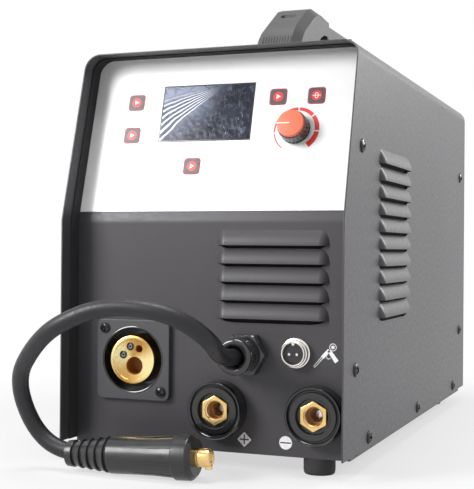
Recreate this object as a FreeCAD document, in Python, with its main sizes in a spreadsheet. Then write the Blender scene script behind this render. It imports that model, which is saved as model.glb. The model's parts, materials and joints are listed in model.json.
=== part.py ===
import FreeCAD, Part
import math
import os
import re

import Sketcher
from FreeCAD import Placement, Rotation, Vector

# MIG welding machine: sheet metal case, spool compartment and feeder behind a side door,
# front panel with its sockets, and the loose polarity cable.
# X to the right, Y to the back, Z up; the origin is on the floor under the middle of the case.

SIZES = {
    # case
    "case_width": 220, "case_depth": 476, "case_top": 311, "cover_bottom": 15,
    "cover_sheet": 1.2, "panel_sheet": 1.5, "corner_radius": 12, "fit": 0.3,
    "lip_depth": 24, "rear_recess": 22, "bend_height": 181.2, "slope_angle": 15.8,
    "flange_depth": 14, "tray_height": 27, "tray_end_height": 10,
    # feet
    "foot_height": 12, "foot_radius": 11.5, "foot_inset_x": 27, "foot_front_inset": 35,
    "foot_rear_inset": 46,
    # louvres
    "side_louvre_start": 96, "side_louvre_length": 102, "side_louvre_bottom": 108.6,
    "side_louvre_pitch": 13.1, "side_louvre_count": 10,
    "front_louvre_left": 6.8, "front_louvre_length": 86, "front_louvre_bottom": 109.7,
    "front_louvre_pitch": 13.3, "front_louvre_count": 5,
    "louvre_height": 11.5, "louvre_rise": 4.4,
    # spool door, its hinge and its latch
    "door_front": 68, "door_rear": 48, "door_bottom": 45, "door_top": 285, "door_gap": 1,
    "hinge_pin_radius": 1.5, "hinge_wall": 1.5, "hinge_length": 36,
    "hinge_leaf": 20, "hinge_end_space": 60, "running_gap": 0.05, "latch_radius": 11,
    "latch_head": 5, "latch_wing": 4, "latch_shaft_radius": 8, "latch_inset": 18,
    "latch_height": 165, "cam_length": 26, "cam_width": 12, "cam_thickness": 2,
    # carry handle
    "handle_front": 154, "handle_length": 226, "handle_height": 66.3, "handle_width": 40.6,
    "handle_lean": 26, "handle_chin": 41, "handle_nose": 40, "handle_flat": 39,
    "handle_step": 7.3, "handle_step_run": 3, "handle_rear_chin": 34, "handle_post": 50,
    "grip_corner": 11, "grip_under": 46, "grip_width": 36, "grip_edge": 3,
    "handle_chamfer": 6.8, "handle_pad_width": 46,
    "handle_pad_height": 4, "handle_slot_length": 14, "handle_slot_width": 6.4,
    "handle_slot_inset": 24, "handle_slot_depth": 20, "handle_screw_radius": 2.8,
    "handle_screw_height": 5,
    # control overlay, keys, display window and knob, along the slope from the bend
    "overlay_bottom": 6.9, "overlay_thickness": 0.6, "key_width": 13, "key_height": 12.6,
    "key_corner": 2, "key_rise": 0.4, "key_travel": 0.6, "key_gap": 0.25, "collar": 1,
    "window_left": 49.3, "window_right": 25.4, "window_bottom": 62.5, "window_top": 108.2,
    "window_rise": 0.3, "knob_inset": 49.2, "knob_v": 68.8, "knob_radius": 11.5, "knob_rise": 12,
    "knob_cap_radius": 10.25, "knob_cap_thickness": 3, "shaft_radius": 3, "knob_gap": 1,
    "board_drop": 11, "board_thickness": 1.6, "board_half": 86, "board_bottom": 18,
    "board_top": 112, "key_switch_half": 3, "key_switch_height": 3.5, "pot_radius": 8.5,
    # torch connector
    "euro_inset": 50.6, "euro_z": 76.5, "euro_flange": 60, "euro_flange_thickness": 4,
    "euro_corner": 5, "euro_recess_radius": 25, "euro_wall": 2.5, "euro_depth": 20,
    "euro_brass_radius": 18.5, "euro_brass_rise": 5, "euro_brass_length": 26,
    "wire_side": 1.9, "wire_drop": 4.5, "wire_bore_radius": 6, "gas_bore_radius": 2.5,
    "contact_radius": 3.4, "euro_screw_spacing": 46.5,
    # welding current sockets
    "plus_x": 10, "minus_inset": 25.5, "socket_z": 43.3, "socket_radius": 21.3,
    "socket_rise": 13, "socket_recess_radius": 15, "socket_recess_depth": 6,
    "socket_neck_radius": 13, "socket_hex": 19.6, "socket_hex_rise": 10,
    "socket_bore_radius": 6.5, "socket_bore_depth": 24, "socket_stud_radius": 5,
    "socket_stud_length": 36,
    # cable gland and control socket on the front
    "gland_spacing": 37.3, "gland_z": 84.2, "gland_hex": 28.5, "gland_hex_thickness": 9,
    "gland_neck_radius": 8, "gland_cap_radius": 13.3, "gland_cap_length": 20,
    "gland_mouth_depth": 6, "control_inset": 41.7, "control_z": 86.3, "control_radius": 10,
    "control_rise": 8, "control_bore_radius": 7.6, "control_neck_radius": 7.8,
    # polarity cable and plug
    "cable_radius": 6, "plug_length": 98, "sleeve_length": 33, "sleeve_end_radius": 9.2,
    "plug_radius": 13, "plug_collar_radius": 16, "plug_collar_length": 14,
    "plug_socket_depth": 14, "plug_pin_radius": 6.5, "plug_pin_length": 11,
    # spool compartment
    "divider_x": 14, "spool_inset_y": 116, "spool_z": 165, "spool_inset_x": 48, "spool_radius": 100,
    "spool_width": 55, "spool_flange": 3, "spool_core_radius": 45, "spool_bore_radius": 25.5,
    "winding_radius": 86, "spool_window_radius": 9, "spool_window_circle": 35.5,
    "hub_clearance": 0.3, "hub_flange_radius": 33, "axle_radius": 8,
    # wire feeder
    "feed_inset": 64, "drive_roll_radius": 15, "idler_radius": 12, "roll_width": 12,
    "wire_gap": 0.4, "feed_plate_side": 17.5, "feed_plate_thickness": 6, "gearbox": 46,
    "motor_radius": 24, "motor_length": 80, "arm_thickness": 3.5, "arm_height": 14,
    "arm_inset": 34, "arm_pivot_z": 94, "arm_pin_radius": 3, "arm_length": 62,
    "tension_radius": 9, "tension_height": 24,
    # power side
    "fan_size": 92, "fan_depth": 25, "fan_z": 92, "fan_tip_gap": 1.5,
    "fan_hub_radius": 19, "fan_shaft_radius": 2, "fan_bore_radius": 43, "fan_slot_half": 36,
    "blade_width": 13, "blade_sheet": 1.6, "sink_gap_left": 36, "sink_gap_right": 8,
    "sink_gap_front": 124, "sink_gap_rear": 166, "sink_height": 60, "sink_base": 12,
    "fin_gap": 4, "fin_pitch": 8, "cap_radius": 14, "cap_height": 38, "cap_row": 40,
    "choke_length": 40, "choke_height": 34, "core_gap_left": 38, "core_gap_right": 18,
    "core_gap_rear": 80, "core_length": 60, "core_height": 66, "coil_overhang": 6, "coil_inset": 8,
    # rear fittings
    "switch_x": 52, "switch_z": 240, "switch_width": 32, "switch_height": 38,
    "rocker_width": 18, "rocker_length": 26, "rocker_pivot": 3, "rocker_tilt": 10,
    "rear_slot_height": 4.5, "rear_slot_pitch": 9, "air_slot_left": 34, "air_slot_right": 88,
    "air_slot_bottom": 110, "inlet_x": 52, "inlet_z": 195, "inlet_hex": 28.5, "inlet_bore_radius": 4.5,
    "gas_x": 62, "gas_z": 60, "gas_barb_radius": 4, "gas_barb_length": 22, "gas_base": 6,
    # fasteners
    "screw_head_radius": 5, "screw_head_height": 2.2, "screw_shank_radius": 2,
    "screw_length": 6,
}

doc = FreeCAD.newDocument("welding_machine")
sizes = doc.addObject("Spreadsheet::Sheet", "sizes")
for row, (alias, value) in enumerate(SIZES.items(), start=1):
    sizes.set(f"A{row}", alias)
    sizes.set(f"B{row}", str(value))
    sizes.setAlias(f"B{row}", alias)

# Sizes that follow from the driving ones.
DERIVED = {
    "panel_y": "-case_depth / 2 + lip_depth",
    "rear_y": "case_depth / 2 - rear_recess",
    "tray_top": "foot_height + panel_sheet",
    "inner_half": "case_width / 2 - cover_sheet - fit",
    "panel_top": "case_top - cover_sheet - fit",
    "overlay_top": "(panel_top - bend_height) / cos(slope_angle)",
    "louvre_back_y": "-case_depth / 2 + side_louvre_start",
    "handle_y": "-case_depth / 2 + handle_front",
    "handle_half": "handle_length / 2",
    "grip_top": "handle_height - handle_step",
    "nose_start": "-handle_half + handle_lean + handle_nose",
    "nose_end": "nose_start + handle_flat",
    "grip_start": "nose_end + handle_step_run",
    "post_end": "-handle_half + handle_lean + handle_post",
    "door_front_y": "-case_depth / 2 + door_front",
    "door_rear_y": "case_depth / 2 - door_rear",
    "hinge_radius": "hinge_pin_radius + hinge_wall",
    "hinge_x": "case_width / 2 + hinge_radius + fit",
    "knob_x": "case_width / 2 - knob_inset",
    "euro_x": "case_width / 2 - euro_inset",
    "minus_x": "case_width / 2 - minus_inset",
    "control_x": "case_width / 2 - control_inset",
    "gland_x": "control_x - gland_spacing",
    "gland_mouth_y": "panel_y - gland_hex_thickness - gland_cap_length + gland_mouth_depth",
    "wire_x": "euro_x - wire_side",
    "wire_z": "euro_z - wire_drop",
    "spool_x": "case_width / 2 - spool_inset_x",
    "spool_y": "rear_y - spool_inset_y",
    "feed_y": "-panel_y - feed_inset",
    "feed_plate_x": "wire_x - feed_plate_side",
    "arm_pivot_y": "-panel_y - arm_inset",
    "fan_x": "(case_width / 2 - divider_x) / 2",
    "sink_left": "-divider_x + sink_gap_left",
    "sink_right": "case_width / 2 - sink_gap_right",
    "sink_front": "panel_y + sink_gap_front",
    "sink_rear": "rear_y - sink_gap_rear",
    "fin_gaps": "floor((sink_right - sink_left) / fin_pitch - 0.5)",
    "core_left": "-divider_x + core_gap_left",
    "core_right": "case_width / 2 - core_gap_right",
    "core_rear": "rear_y - core_gap_rear",
    "core_front": "core_rear - core_length",
    "drive_z": "wire_z - wire_gap - drive_roll_radius",
    "idler_z": "wire_z + wire_gap + idler_radius",
    "feed_face_x": "feed_plate_x + feed_plate_thickness",
}
for row, (alias, formula) in enumerate(DERIVED.items(), start=len(SIZES) + 2):
    sizes.set(f"A{row}", alias)
    sizes.set(f"B{row}", "=" + formula)
    sizes.setAlias(f"B{row}", alias)
doc.recompute()

ALIASES = set(SIZES) | set(DERIVED)
WORD = re.compile(r"[a-z][a-z0-9_]*")


def full(formula):
    """The formula with each alias written as a cell of the sheet."""
    return WORD.sub(lambda m: "sizes." + m.group() if m.group() in ALIASES else m.group(), str(formula))


def size(formula):
    """The number that a formula of aliases gives."""
    return float(sizes.evalExpression(full(formula)))


def bind(thing, name, formula):
    """Tie one property to the sheet."""
    thing.setExpression(name, full(formula))


# ---- frames: where a sub-part's own x, y (in its face) and z (outwards) lie in the machine

TURNS = {
    "floor": Rotation(),
    "front": Rotation(Vector(1, 0, 0), 90),
    "slope": Rotation(Vector(1, 0, 0), 90 - size("slope_angle")),
    "rear": Rotation(Vector(0, 1, 1), 180),
    "right": Rotation(Vector(1, 1, 1), 120),
    "left": Rotation(Vector(0, -1, 0), Vector(0, 0, 1), Vector(-1, 0, 0)),
}


def spot(frame, x, y, z):
    """Formulas of the machine coordinates of a point given in a frame."""
    if frame == "front":
        return f"{x}", f"panel_y - ({z})", f"{y}"
    if frame == "slope":
        return (f"{x}", f"panel_y + ({y}) * sin(slope_angle) - ({z}) * cos(slope_angle)",
                f"bend_height + ({y}) * cos(slope_angle) + ({z}) * sin(slope_angle)")
    if frame == "rear":
        return f"-({x})", f"rear_y + ({z})", f"{y}"
    if frame == "right":
        return f"case_width / 2 + ({z})", f"{x}", f"{y}"
    if frame == "left":
        return f"-case_width / 2 - ({z})", f"-({x})", f"{y}"
    return f"{x}", f"{y}", f"{z}"


def place(thing, at, turn=None):
    """Turn an object and tie its position to the sheet."""
    thing.Placement = Placement(Vector(), turn or Rotation())
    for axis, formula in zip("xyz", at):
        bind(thing, f".Placement.Base.{axis}", formula)


NODES = []


def node(label, thing, frame="floor", x="0", y="0", z="0"):
    """Name a finished sub-part, set it in its frame and keep it for export."""
    thing.Label = label
    place(thing, spot(frame, x, y, z), TURNS[frame])
    if frame == "slope":
        bind(thing, ".Placement.Rotation.Angle", "90 - slope_angle")
    NODES.append(thing)
    return thing


# ---- Part primitives and booleans

ALONG = {"z": Rotation(), "x": Rotation(Vector(0, 1, 0), 90), "y": Rotation(Vector(1, 0, 0), -90)}


def primitive(kind, at, dims, turn=None):
    thing = doc.addObject("Part::" + kind, kind)
    for name, formula in dims.items():
        bind(thing, name, formula)
    place(thing, at, turn)
    return thing


def block(x0, y0, z0, x1, y1, z1):
    """A box from its low corner to its high corner."""
    return primitive("Box", (x0, y0, z0), {"Length": f"({x1}) - ({x0})", "Width": f"({y1}) - ({y0})",
                                          "Height": f"({z1}) - ({z0})"})


def rod(radius, start, end, x="0", y="0", along="z"):
    """A cylinder along one axis; x and y are its place across that axis, in X, Y, Z order."""
    at = {"z": (x, y, start), "x": (start, x, y), "y": (x, start, y)}[along]
    return primitive("Cylinder", at, {"Radius": radius, "Height": f"({end}) - ({start})"}, ALONG[along])


def cone(radius0, radius1, start, end, x="0", y="0"):
    return primitive("Cone", (x, y, start), {"Radius1": radius0, "Radius2": radius1,
                                             "Height": f"({end}) - ({start})"})


CORNER_UP = Rotation(Vector(0, 0, 1), 30)


def hexagon(across_flats, start, end, turn=None):
    """A hexagonal prism on the axis, given across its flats."""
    thing = primitive("Prism", ("0", "0", start), {"Circumradius": f"({across_flats}) / sqrt(3)",
                                                   "Height": f"({end}) - ({start})"}, turn)
    thing.Polygon = 6
    return thing


def fuse(*parts):
    thing = doc.addObject("Part::MultiFuse", "Fuse")
    thing.Shapes = list(parts)
    thing.Refine = True
    return thing


def group(*parts):
    thing = doc.addObject("Part::Compound", "Group")
    thing.Links = list(parts)
    return thing


def cut(base, *tools):
    thing = doc.addObject("Part::Cut", "Cut")
    thing.Base = base
    thing.Tool = tools[0] if len(tools) == 1 else group(*tools)
    thing.Refine = True
    return thing


def blend(thing, radius, wanted):
    """Round the edges of a Part object that the test picks."""
    doc.recompute()
    rounded = doc.addObject("Part::Fillet", "Round")
    rounded.Base = thing
    amount = size(radius)
    picked = [i for i, edge in enumerate(thing.Shape.Edges, start=1) if wanted(edge)]
    rounded.Edges = [(i, amount, amount) for i in picked]
    return rounded


# ---- PartDesign bodies

def new_body(name):
    return doc.addObject("PartDesign::Body", name)


def origin_of(body, role):
    return next(f for f in body.Origin.OriginFeatures if f.Role == role)


def sketch(body, plane="XY_Plane", lift="0"):
    """A sketch on an origin plane, moved along the plane's normal."""
    made = body.newObject("Sketcher::SketchObject", "Sketch")
    made.AttachmentSupport = [(origin_of(body, plane), "")]
    made.MapMode = "FlatFace"
    bind(made, ".AttachmentOffset.Base.z", lift)
    return made


def slope_sketch(body):
    """A sketch in the plane of the sloped panel's outer face, with y from the bend upwards."""
    made = sketch(body)
    made.AttachmentOffset = Placement(Vector(), TURNS["slope"])
    for axis, formula in zip("xyz", spot("slope", "0", "0", "0")):
        bind(made, f".AttachmentOffset.Base.{axis}", formula)
    bind(made, ".AttachmentOffset.Rotation.Angle", "90 - slope_angle")
    return made


def fix(made, geometry, point, x, y):
    """Hold one point of a sketch at a place given by two formulas."""
    for kind, formula in (("DistanceX", x), ("DistanceY", y)):
        index = made.addConstraint(Sketcher.Constraint(kind, -1, 1, geometry, point, size(formula)))
        made.setExpression(f"Constraints[{index}]", full(formula))


def outline(made, corners):
    """A closed straight-sided loop through corners given by formulas."""
    points = [Vector(size(x), size(y), 0) for x, y in corners]
    first = len(made.Geometry)
    count = len(points)
    for i in range(count):
        made.addGeometry(Part.LineSegment(points[i], points[(i + 1) % count]), False)
    for i in range(count):
        made.addConstraint(Sketcher.Constraint("Coincident", first + i, 2, first + (i + 1) % count, 1))
    for i, (x, y) in enumerate(corners):
        fix(made, first + i, 1, x, y)


def rectangle(made, x0, y0, x1, y1):
    outline(made, [(x0, y0), (x1, y0), (x1, y1), (x0, y1)])


def arch(made, half, low, high, radius):
    """A rectangle about x = 0 whose two upper corners are rounded."""
    corners = [
        (f"-({half})", low), (half, low), (half, f"{high} - ({radius})"),
        (f"{half} - ({radius})", high), (f"-({half}) + ({radius})", high),
        (f"-({half})", f"{high} - ({radius})"),
    ]
    points = [Vector(size(x), size(y), 0) for x, y in corners]
    reach = size(radius)
    count = len(points)
    for i, point in enumerate(points):
        following = points[(i + 1) % count]
        if i in (2, 4):
            centre = Vector(point.x - reach, point.y, 0) if i == 2 else Vector(point.x, point.y - reach, 0)
            start = 0 if i == 2 else math.pi / 2
            turned = Part.ArcOfCircle(Part.Circle(centre, Vector(0, 0, 1), reach), start, start + math.pi / 2)
            made.addGeometry(turned, False)
        else:
            made.addGeometry(Part.LineSegment(point, following), False)
    for i in range(count):
        made.addConstraint(Sketcher.Constraint("Coincident", i, 2, (i + 1) % count, 1))
    for i, (x, y) in enumerate(corners):
        fix(made, i, 1, x, y)
    for i in (2, 4):
        index = made.addConstraint(Sketcher.Constraint("Radius", i, reach))
        made.setExpression(f"Constraints[{index}]", full(radius))


def circle(made, x, y, radius):
    shape = Part.Circle(Vector(size(x), size(y), 0), Vector(0, 0, 1), size(radius))
    index = made.addGeometry(shape, False)
    constraint = made.addConstraint(Sketcher.Constraint("Radius", index, size(radius)))
    made.setExpression(f"Constraints[{constraint}]", full(radius))
    fix(made, index, 3, x, y)


def pad(body, made, length, both=False, back=False):
    feature = body.newObject("PartDesign::Pad", "Pad")
    feature.Profile = made
    bind(feature, "Length", length)
    feature.Midplane = both
    feature.Reversed = back
    return feature


def pocket(body, made, length=None, both=False, back=False):
    """Cut a sketch into the body: through everything both ways when no length is given."""
    doc.recompute()
    before = body.Shape.Volume
    feature = body.newObject("PartDesign::Pocket", "Pocket")
    feature.Profile = made
    if length is None:
        feature.Type = "ThroughAll"
        feature.Midplane = True
    else:
        bind(feature, "Length", length)
        feature.Midplane = both
        feature.Reversed = back
    doc.recompute()
    if body.Shape.Volume >= before:
        raise RuntimeError(f"a pocket of {body.Name} cuts nothing")
    return feature


def dress(body, kind, amount, wanted):
    """Fillet or chamfer the edges of the body that the test picks."""
    doc.recompute()
    tip = body.Tip
    picked = [f"Edge{i}" for i, edge in enumerate(tip.Shape.Edges, start=1) if wanted(edge)]
    feature = body.newObject("PartDesign::" + kind, kind)
    feature.Base = (tip, picked)
    bind(feature, "Radius" if kind == "Fillet" else "Size", amount)
    return feature


def repeat(body, features, axis, count, pitch):
    """Repeat features along one of the body's own axes."""
    pattern = body.newObject("PartDesign::LinearPattern", "Row")
    pattern.Originals = features
    pattern.Direction = (origin_of(body, axis), [""])
    pattern.Mode = "Spacing"
    bind(pattern, "Offset", pitch)
    bind(pattern, "Occurrences", count)
    body.Tip = pattern
    return pattern


def runs_along(edge, axis):
    """Whether a straight edge runs along X, Y or Z."""
    if not isinstance(edge.Curve, Part.Line):
        return False
    return abs(getattr(edge.Curve.Direction, axis)) > 0.999


def upright(edge):
    return runs_along(edge, "z")


def plate(label, x0, y0, x1, y1, start, thickness, corner, frame, x="0", y="0", z="0"):
    """A flat piece with rounded corners in a frame; returns its body for further cuts."""
    body = new_body(label)
    made = sketch(body, lift=start)
    rectangle(made, x0, y0, x1, y1)
    pad(body, made, thickness)
    dress(body, "Fillet", corner, upright)
    return node(label, body, frame, x, y, z)


# ---- what several sub-parts share

# Keys on the sloped panel: x, and distance up the slope from the bend.
KEYS = [("-72", "95.8"), ("-72.4", "68.6"), ("-18.8", "42.3"), ("44.6", "95.7"), ("74.4", "95.4")]

# Screws of each side of the case: y and z.
SIDE_SCREWS = [
    ("panel_y + 21", "235"),
    ("panel_y + 7", "75.5"),
    ("-168", "foot_height + 10"),
    ("3", "foot_height + 10"),
    ("175", "foot_height + 10"),
    ("rear_y - 7", "77"),
    ("rear_y - 7", "237"),
]
CONTACTS = [("-euro_x - 1.7", "euro_z + 9.9"), ("-euro_x - 7.4", "euro_z + 3.6")]
GAS_BORE = ("-euro_x + 5.6", "euro_z + 8.3")
HINGES = ["door_bottom + hinge_end_space", "door_top - hinge_end_space - hinge_length"]


def side_holes(body):
    """Clearance holes for the side screws through both walls of a body."""
    made = sketch(body, "YZ_Plane")
    for y, z in SIDE_SCREWS:
        circle(made, y, z, "screw_shank_radius + fit")
    pocket(body, made)


# ---- case

def bend_at(depth):
    """Height of the front panel's bend, at a depth behind its outer face."""
    return f"bend_height - ({depth}) * tan(slope_angle / 2)"


def slope_at(depth, height):
    """Y of the sloped panel at a height, at a depth behind its outer face."""
    return f"panel_y + {depth} + ({height} - ({bend_at(depth)})) * tan(slope_angle)"


def make_tray():
    body = new_body("base_tray")
    made = sketch(body, lift="foot_height")
    rectangle(made, "-inner_half", "panel_y", "inner_half", "rear_y")
    pad(body, made, "tray_height")
    made = sketch(body, lift="tray_top")
    rectangle(made, "-inner_half + panel_sheet", "panel_y + 2 * panel_sheet + fit",
              "inner_half - panel_sheet", "rear_y - 2 * panel_sheet - fit")
    pocket(body, made, "tray_height", back=True)
    for y0, y1 in (("panel_y", "panel_y + flange_depth + 2"), ("rear_y - flange_depth - 2", "rear_y")):
        made = sketch(body, lift="tray_top")
        for side in ("-", ""):
            near, far = f"{side}(inner_half - panel_sheet - fit)", f"{side}inner_half"
            low, high = (far, near) if side else (near, far)
            rectangle(made, low, y0, high, y1)
        pocket(body, made, "tray_height", back=True)
    # The end flanges stand behind the panels and are lower than the side ones.
    for lift, sheets in (("tray_top", 1), ("foot_height + tray_end_height", 2)):
        for y0, y1 in (("panel_y", f"panel_y + {sheets} * panel_sheet + fit"),
                       (f"rear_y - {sheets} * panel_sheet - fit", "rear_y")):
            made = sketch(body, lift=lift)
            rectangle(made, "-inner_half", y0, "inner_half", y1)
            pocket(body, made, "tray_height", back=True)
    side_holes(body)
    return node("base_tray", body)


def make_front_panel():
    body = new_body("front_panel")
    made = sketch(body, "YZ_Plane")
    outline(made, [
        ("panel_y", "tray_top"),
        ("panel_y + panel_sheet", "tray_top"),
        ("panel_y + panel_sheet", bend_at("panel_sheet")),
        ("panel_y", "bend_height"),
    ])
    pad(body, made, "2 * inner_half", both=True)

    hood = sketch(body, "YZ_Plane", "front_louvre_left")
    outline(hood, [
        ("panel_y", "front_louvre_bottom"),
        ("panel_y", "front_louvre_bottom + louvre_height"),
        ("panel_y - louvre_rise", "front_louvre_bottom + louvre_height / 4"),
        ("panel_y - louvre_rise", "front_louvre_bottom"),
    ])
    hood = pad(body, hood, "front_louvre_length")
    slot = sketch(body, "YZ_Plane", "front_louvre_left + panel_sheet")
    outline(slot, [
        ("panel_y + 2 * panel_sheet", "front_louvre_bottom"),
        ("panel_y + 2 * panel_sheet", "front_louvre_bottom + louvre_height - 2 * panel_sheet"),
        ("panel_y", "front_louvre_bottom + louvre_height - 2 * panel_sheet"),
        ("panel_y - louvre_rise + panel_sheet", "front_louvre_bottom + louvre_height / 4"),
        ("panel_y - louvre_rise + panel_sheet", "front_louvre_bottom"),
    ])
    slot = pocket(body, slot, "front_louvre_length - 2 * panel_sheet", back=True)
    repeat(body, [hood, slot], "Z_Axis", "front_louvre_count", "front_louvre_pitch")

    # In this plane sketch x is X and sketch y is Z.
    made = sketch(body, "XZ_Plane", "-panel_y")
    circle(made, "-euro_x", "euro_z", "euro_recess_radius + euro_wall + fit")
    circle(made, "plus_x", "socket_z", "socket_neck_radius + fit")
    circle(made, "minus_x", "socket_z", "socket_neck_radius + fit")
    circle(made, "gland_x", "gland_z", "gland_neck_radius + fit")
    circle(made, "control_x", "control_z", "control_neck_radius + fit")
    pocket(body, made, "3 * panel_sheet", both=True)

    return node("front_panel", body)


def slope_band(body, near, far):
    """A sketch of the sloped panel's section, from one depth behind its outer face to another."""
    made = sketch(body, "YZ_Plane")
    outline(made, [
        (f"panel_y + {near}", bend_at(near)),
        (f"panel_y + {far}", bend_at(far)),
        (slope_at(far, "panel_top"), "panel_top"),
        (slope_at(near, "panel_top"), "panel_top"),
    ])
    return made


def make_control_panel():
    # The corners are rounded on a deep block, which is then cut down to the sheet.
    body = new_body("control_panel")
    pad(body, slope_band(body, "0", "flange_depth"), "2 * inner_half", both=True)
    top = size("panel_top")
    dress(body, "Fillet", "corner_radius",
          lambda e: runs_along(e, "y") and e.CenterOfMass.z > top - 0.01)
    pocket(body, slope_band(body, "panel_sheet", "(flange_depth + panel_sheet)"), "case_width", both=True)
    made = slope_sketch(body)
    for x, v in KEYS:
        rectangle(made, f"{x} - key_width / 2 - key_gap", f"{v} - key_height / 2 - key_gap",
                  f"{x} + key_width / 2 + key_gap", f"{v} + key_height / 2 + key_gap")
    rectangle(made, "-window_left - key_gap", "window_bottom - key_gap",
              "window_right + key_gap", "window_top + key_gap")
    circle(made, "knob_x", "knob_v", "shaft_radius + 2")
    pocket(body, made, "3 * panel_sheet", both=True)
    return node("control_panel", body)


def make_panel_flange(label, start):
    """One side flange behind the front and control panels, which the side screws hold."""
    body = new_body(label)
    made = sketch(body, "YZ_Plane", start)
    near, far, top = "panel_sheet", "flange_depth", "(panel_top - corner_radius)"
    outline(made, [
        (f"panel_y + {near}", "tray_top"),
        (f"panel_y + {far}", "tray_top"),
        (f"panel_y + {far}", bend_at(far)),
        (slope_at(far, top), top),
        (slope_at(near, top), top),
        (f"panel_y + {near}", bend_at(near)),
    ])
    pad(body, made, "panel_sheet")
    side_holes(body)
    return node(label, body)


def make_rear_panel():
    body = new_body("rear_panel")
    made = sketch(body, lift="-flange_depth")
    rectangle(made, "-inner_half", "tray_top", "inner_half", "panel_top")
    pad(body, made, "flange_depth")
    top = size("panel_top")
    dress(body, "Fillet", "corner_radius", lambda e: upright(e) and e.CenterOfMass.y > top - 0.01)
    made = sketch(body, lift="-panel_sheet")
    rectangle(made, "-inner_half + panel_sheet", "tray_top - 1", "inner_half - panel_sheet", "case_top")
    pocket(body, made, "flange_depth")

    # Outlet slots of the fan, and air slots of the spool side.
    for x0, x1, bottom, count in (("-fan_x - fan_slot_half", "-fan_x + fan_slot_half",
                                   "fan_z - fan_slot_half + 2", 8),
                                  ("air_slot_left", "air_slot_right", "air_slot_bottom", 7)):
        made = sketch(body)
        for i in range(count):
            low = f"{bottom} + {i} * rear_slot_pitch"
            rectangle(made, x0, low, x1, f"{low} + rear_slot_height")
        pocket(body, made)
    made = sketch(body)
    rectangle(made, "switch_x - switch_width / 2 + 2", "switch_z - switch_height / 2 + 2",
              "switch_x + switch_width / 2 - 2", "switch_z + switch_height / 2 - 2")
    circle(made, "inlet_x", "inlet_z", "gland_neck_radius + fit")
    circle(made, "gas_x", "gas_z", "gas_barb_radius + 2 + fit")
    pocket(body, made)
    rear = node("rear_panel", body, "rear")
    # The side screws are given in machine coordinates; this body's x runs the other way.
    made = sketch(body, "YZ_Plane")
    for y, z in SIDE_SCREWS[-2:]:
        circle(made, z, f"{y} - rear_y", "screw_shank_radius + fit")
    pocket(body, made)
    return rear


def make_cover():
    body = new_body("cover_shell")
    made = sketch(body, "XZ_Plane")
    arch(made, "case_width / 2", "cover_bottom", "case_top", "corner_radius")
    pad(body, made, "case_depth", both=True)
    made = sketch(body, "XZ_Plane")
    arch(made, "case_width / 2 - cover_sheet", "cover_bottom - 1", "case_top - cover_sheet",
         "corner_radius - cover_sheet")
    pocket(body, made, "case_depth", both=True)
    made = sketch(body, "YZ_Plane")
    outline(made, [
        ("-case_depth / 2", "bend_height"),
        ("-case_depth / 2 + (case_top + 1 - bend_height) * tan(slope_angle)", "case_top + 1"),
        ("-case_depth / 2 - 5", "case_top + 1"),
        ("-case_depth / 2 - 5", "bend_height"),
    ])
    pocket(body, made)

    hood = sketch(body, "XZ_Plane", "-louvre_back_y")
    outline(hood, [
        ("case_width / 2", "side_louvre_bottom"),
        ("case_width / 2 + louvre_rise", "side_louvre_bottom"),
        ("case_width / 2 + louvre_rise", "side_louvre_bottom + louvre_height / 4"),
        ("case_width / 2", "side_louvre_bottom + louvre_height"),
    ])
    hood = pad(body, hood, "side_louvre_length", back=True)
    slot = sketch(body, "XZ_Plane", "-louvre_back_y - cover_sheet")
    wall = "case_width / 2 + louvre_rise - cover_sheet"
    outline(slot, [
        ("case_width / 2 - 2 * cover_sheet", "side_louvre_bottom"),
        (wall, "side_louvre_bottom"),
        (wall, "side_louvre_bottom + louvre_height / 4"),
        ("case_width / 2", "side_louvre_bottom + louvre_height - 2 * cover_sheet"),
        ("case_width / 2 - 2 * cover_sheet", "side_louvre_bottom + louvre_height - 2 * cover_sheet"),
    ])
    slot = pocket(body, slot, "side_louvre_length - 2 * cover_sheet")
    repeat(body, [hood, slot], "Z_Axis", "side_louvre_count", "side_louvre_pitch")

    made = sketch(body, "YZ_Plane", "-case_width / 2 - 1")
    rectangle(made, "door_front_y", "door_bottom", "door_rear_y", "door_top")
    pocket(body, made, "5 * cover_sheet", back=True)
    side_holes(body)
    made = sketch(body, lift="case_top")
    for y in ("handle_y + handle_slot_inset / 2", "handle_y + handle_length - handle_slot_inset / 2"):
        for x in ("-handle_slot_inset / 2", "handle_slot_inset / 2"):
            circle(made, x, y, "screw_shank_radius + fit")
    pocket(body, made, "3 * cover_sheet", both=True)
    return node("cover_shell", body)


def make_divider():
    """The wall between the spool side and the power side, standing on a foot flange."""
    body = new_body("centre_divider")
    made = sketch(body, "YZ_Plane", "-divider_x")
    front = "panel_y + flange_depth + 2"
    back = "rear_y - flange_depth - 2"
    outline(made, [
        (front, "tray_top"), (back, "tray_top"), (back, "panel_top - 1"),
        ("panel_y + 64", "panel_top - 1"), ("panel_y + 64", "bend_height + 10"), (front, "bend_height - 30"),
    ])
    pad(body, made, "panel_sheet")
    made = sketch(body, lift="tray_top")
    rectangle(made, "-divider_x", front, "-divider_x + 18", back)
    pad(body, made, "panel_sheet")
    made = sketch(body, "YZ_Plane", "-divider_x")
    circle(made, "-feed_y", "drive_z", "axle_radius + 2 + fit")
    circle(made, "spool_y", "spool_z", "axle_radius - 2")
    pocket(body, made, "4 * panel_sheet", both=True)
    return node("centre_divider", body)


def make_feet():
    feet = []
    for x_sign in ("-", ""):
        for y in ("panel_y + foot_front_inset - lip_depth", "case_depth / 2 - foot_rear_inset"):
            foot = cut(cone("foot_radius - 1", "foot_radius", "0", "foot_height"),
                       rod("foot_radius / 2", "-1", "foot_height / 3"))
            place(foot, spot("floor", f"{x_sign}(case_width / 2 - foot_inset_x)", y, "0"))
            feet.append(foot)
    node("rubber_feet", group(*feet))


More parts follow.
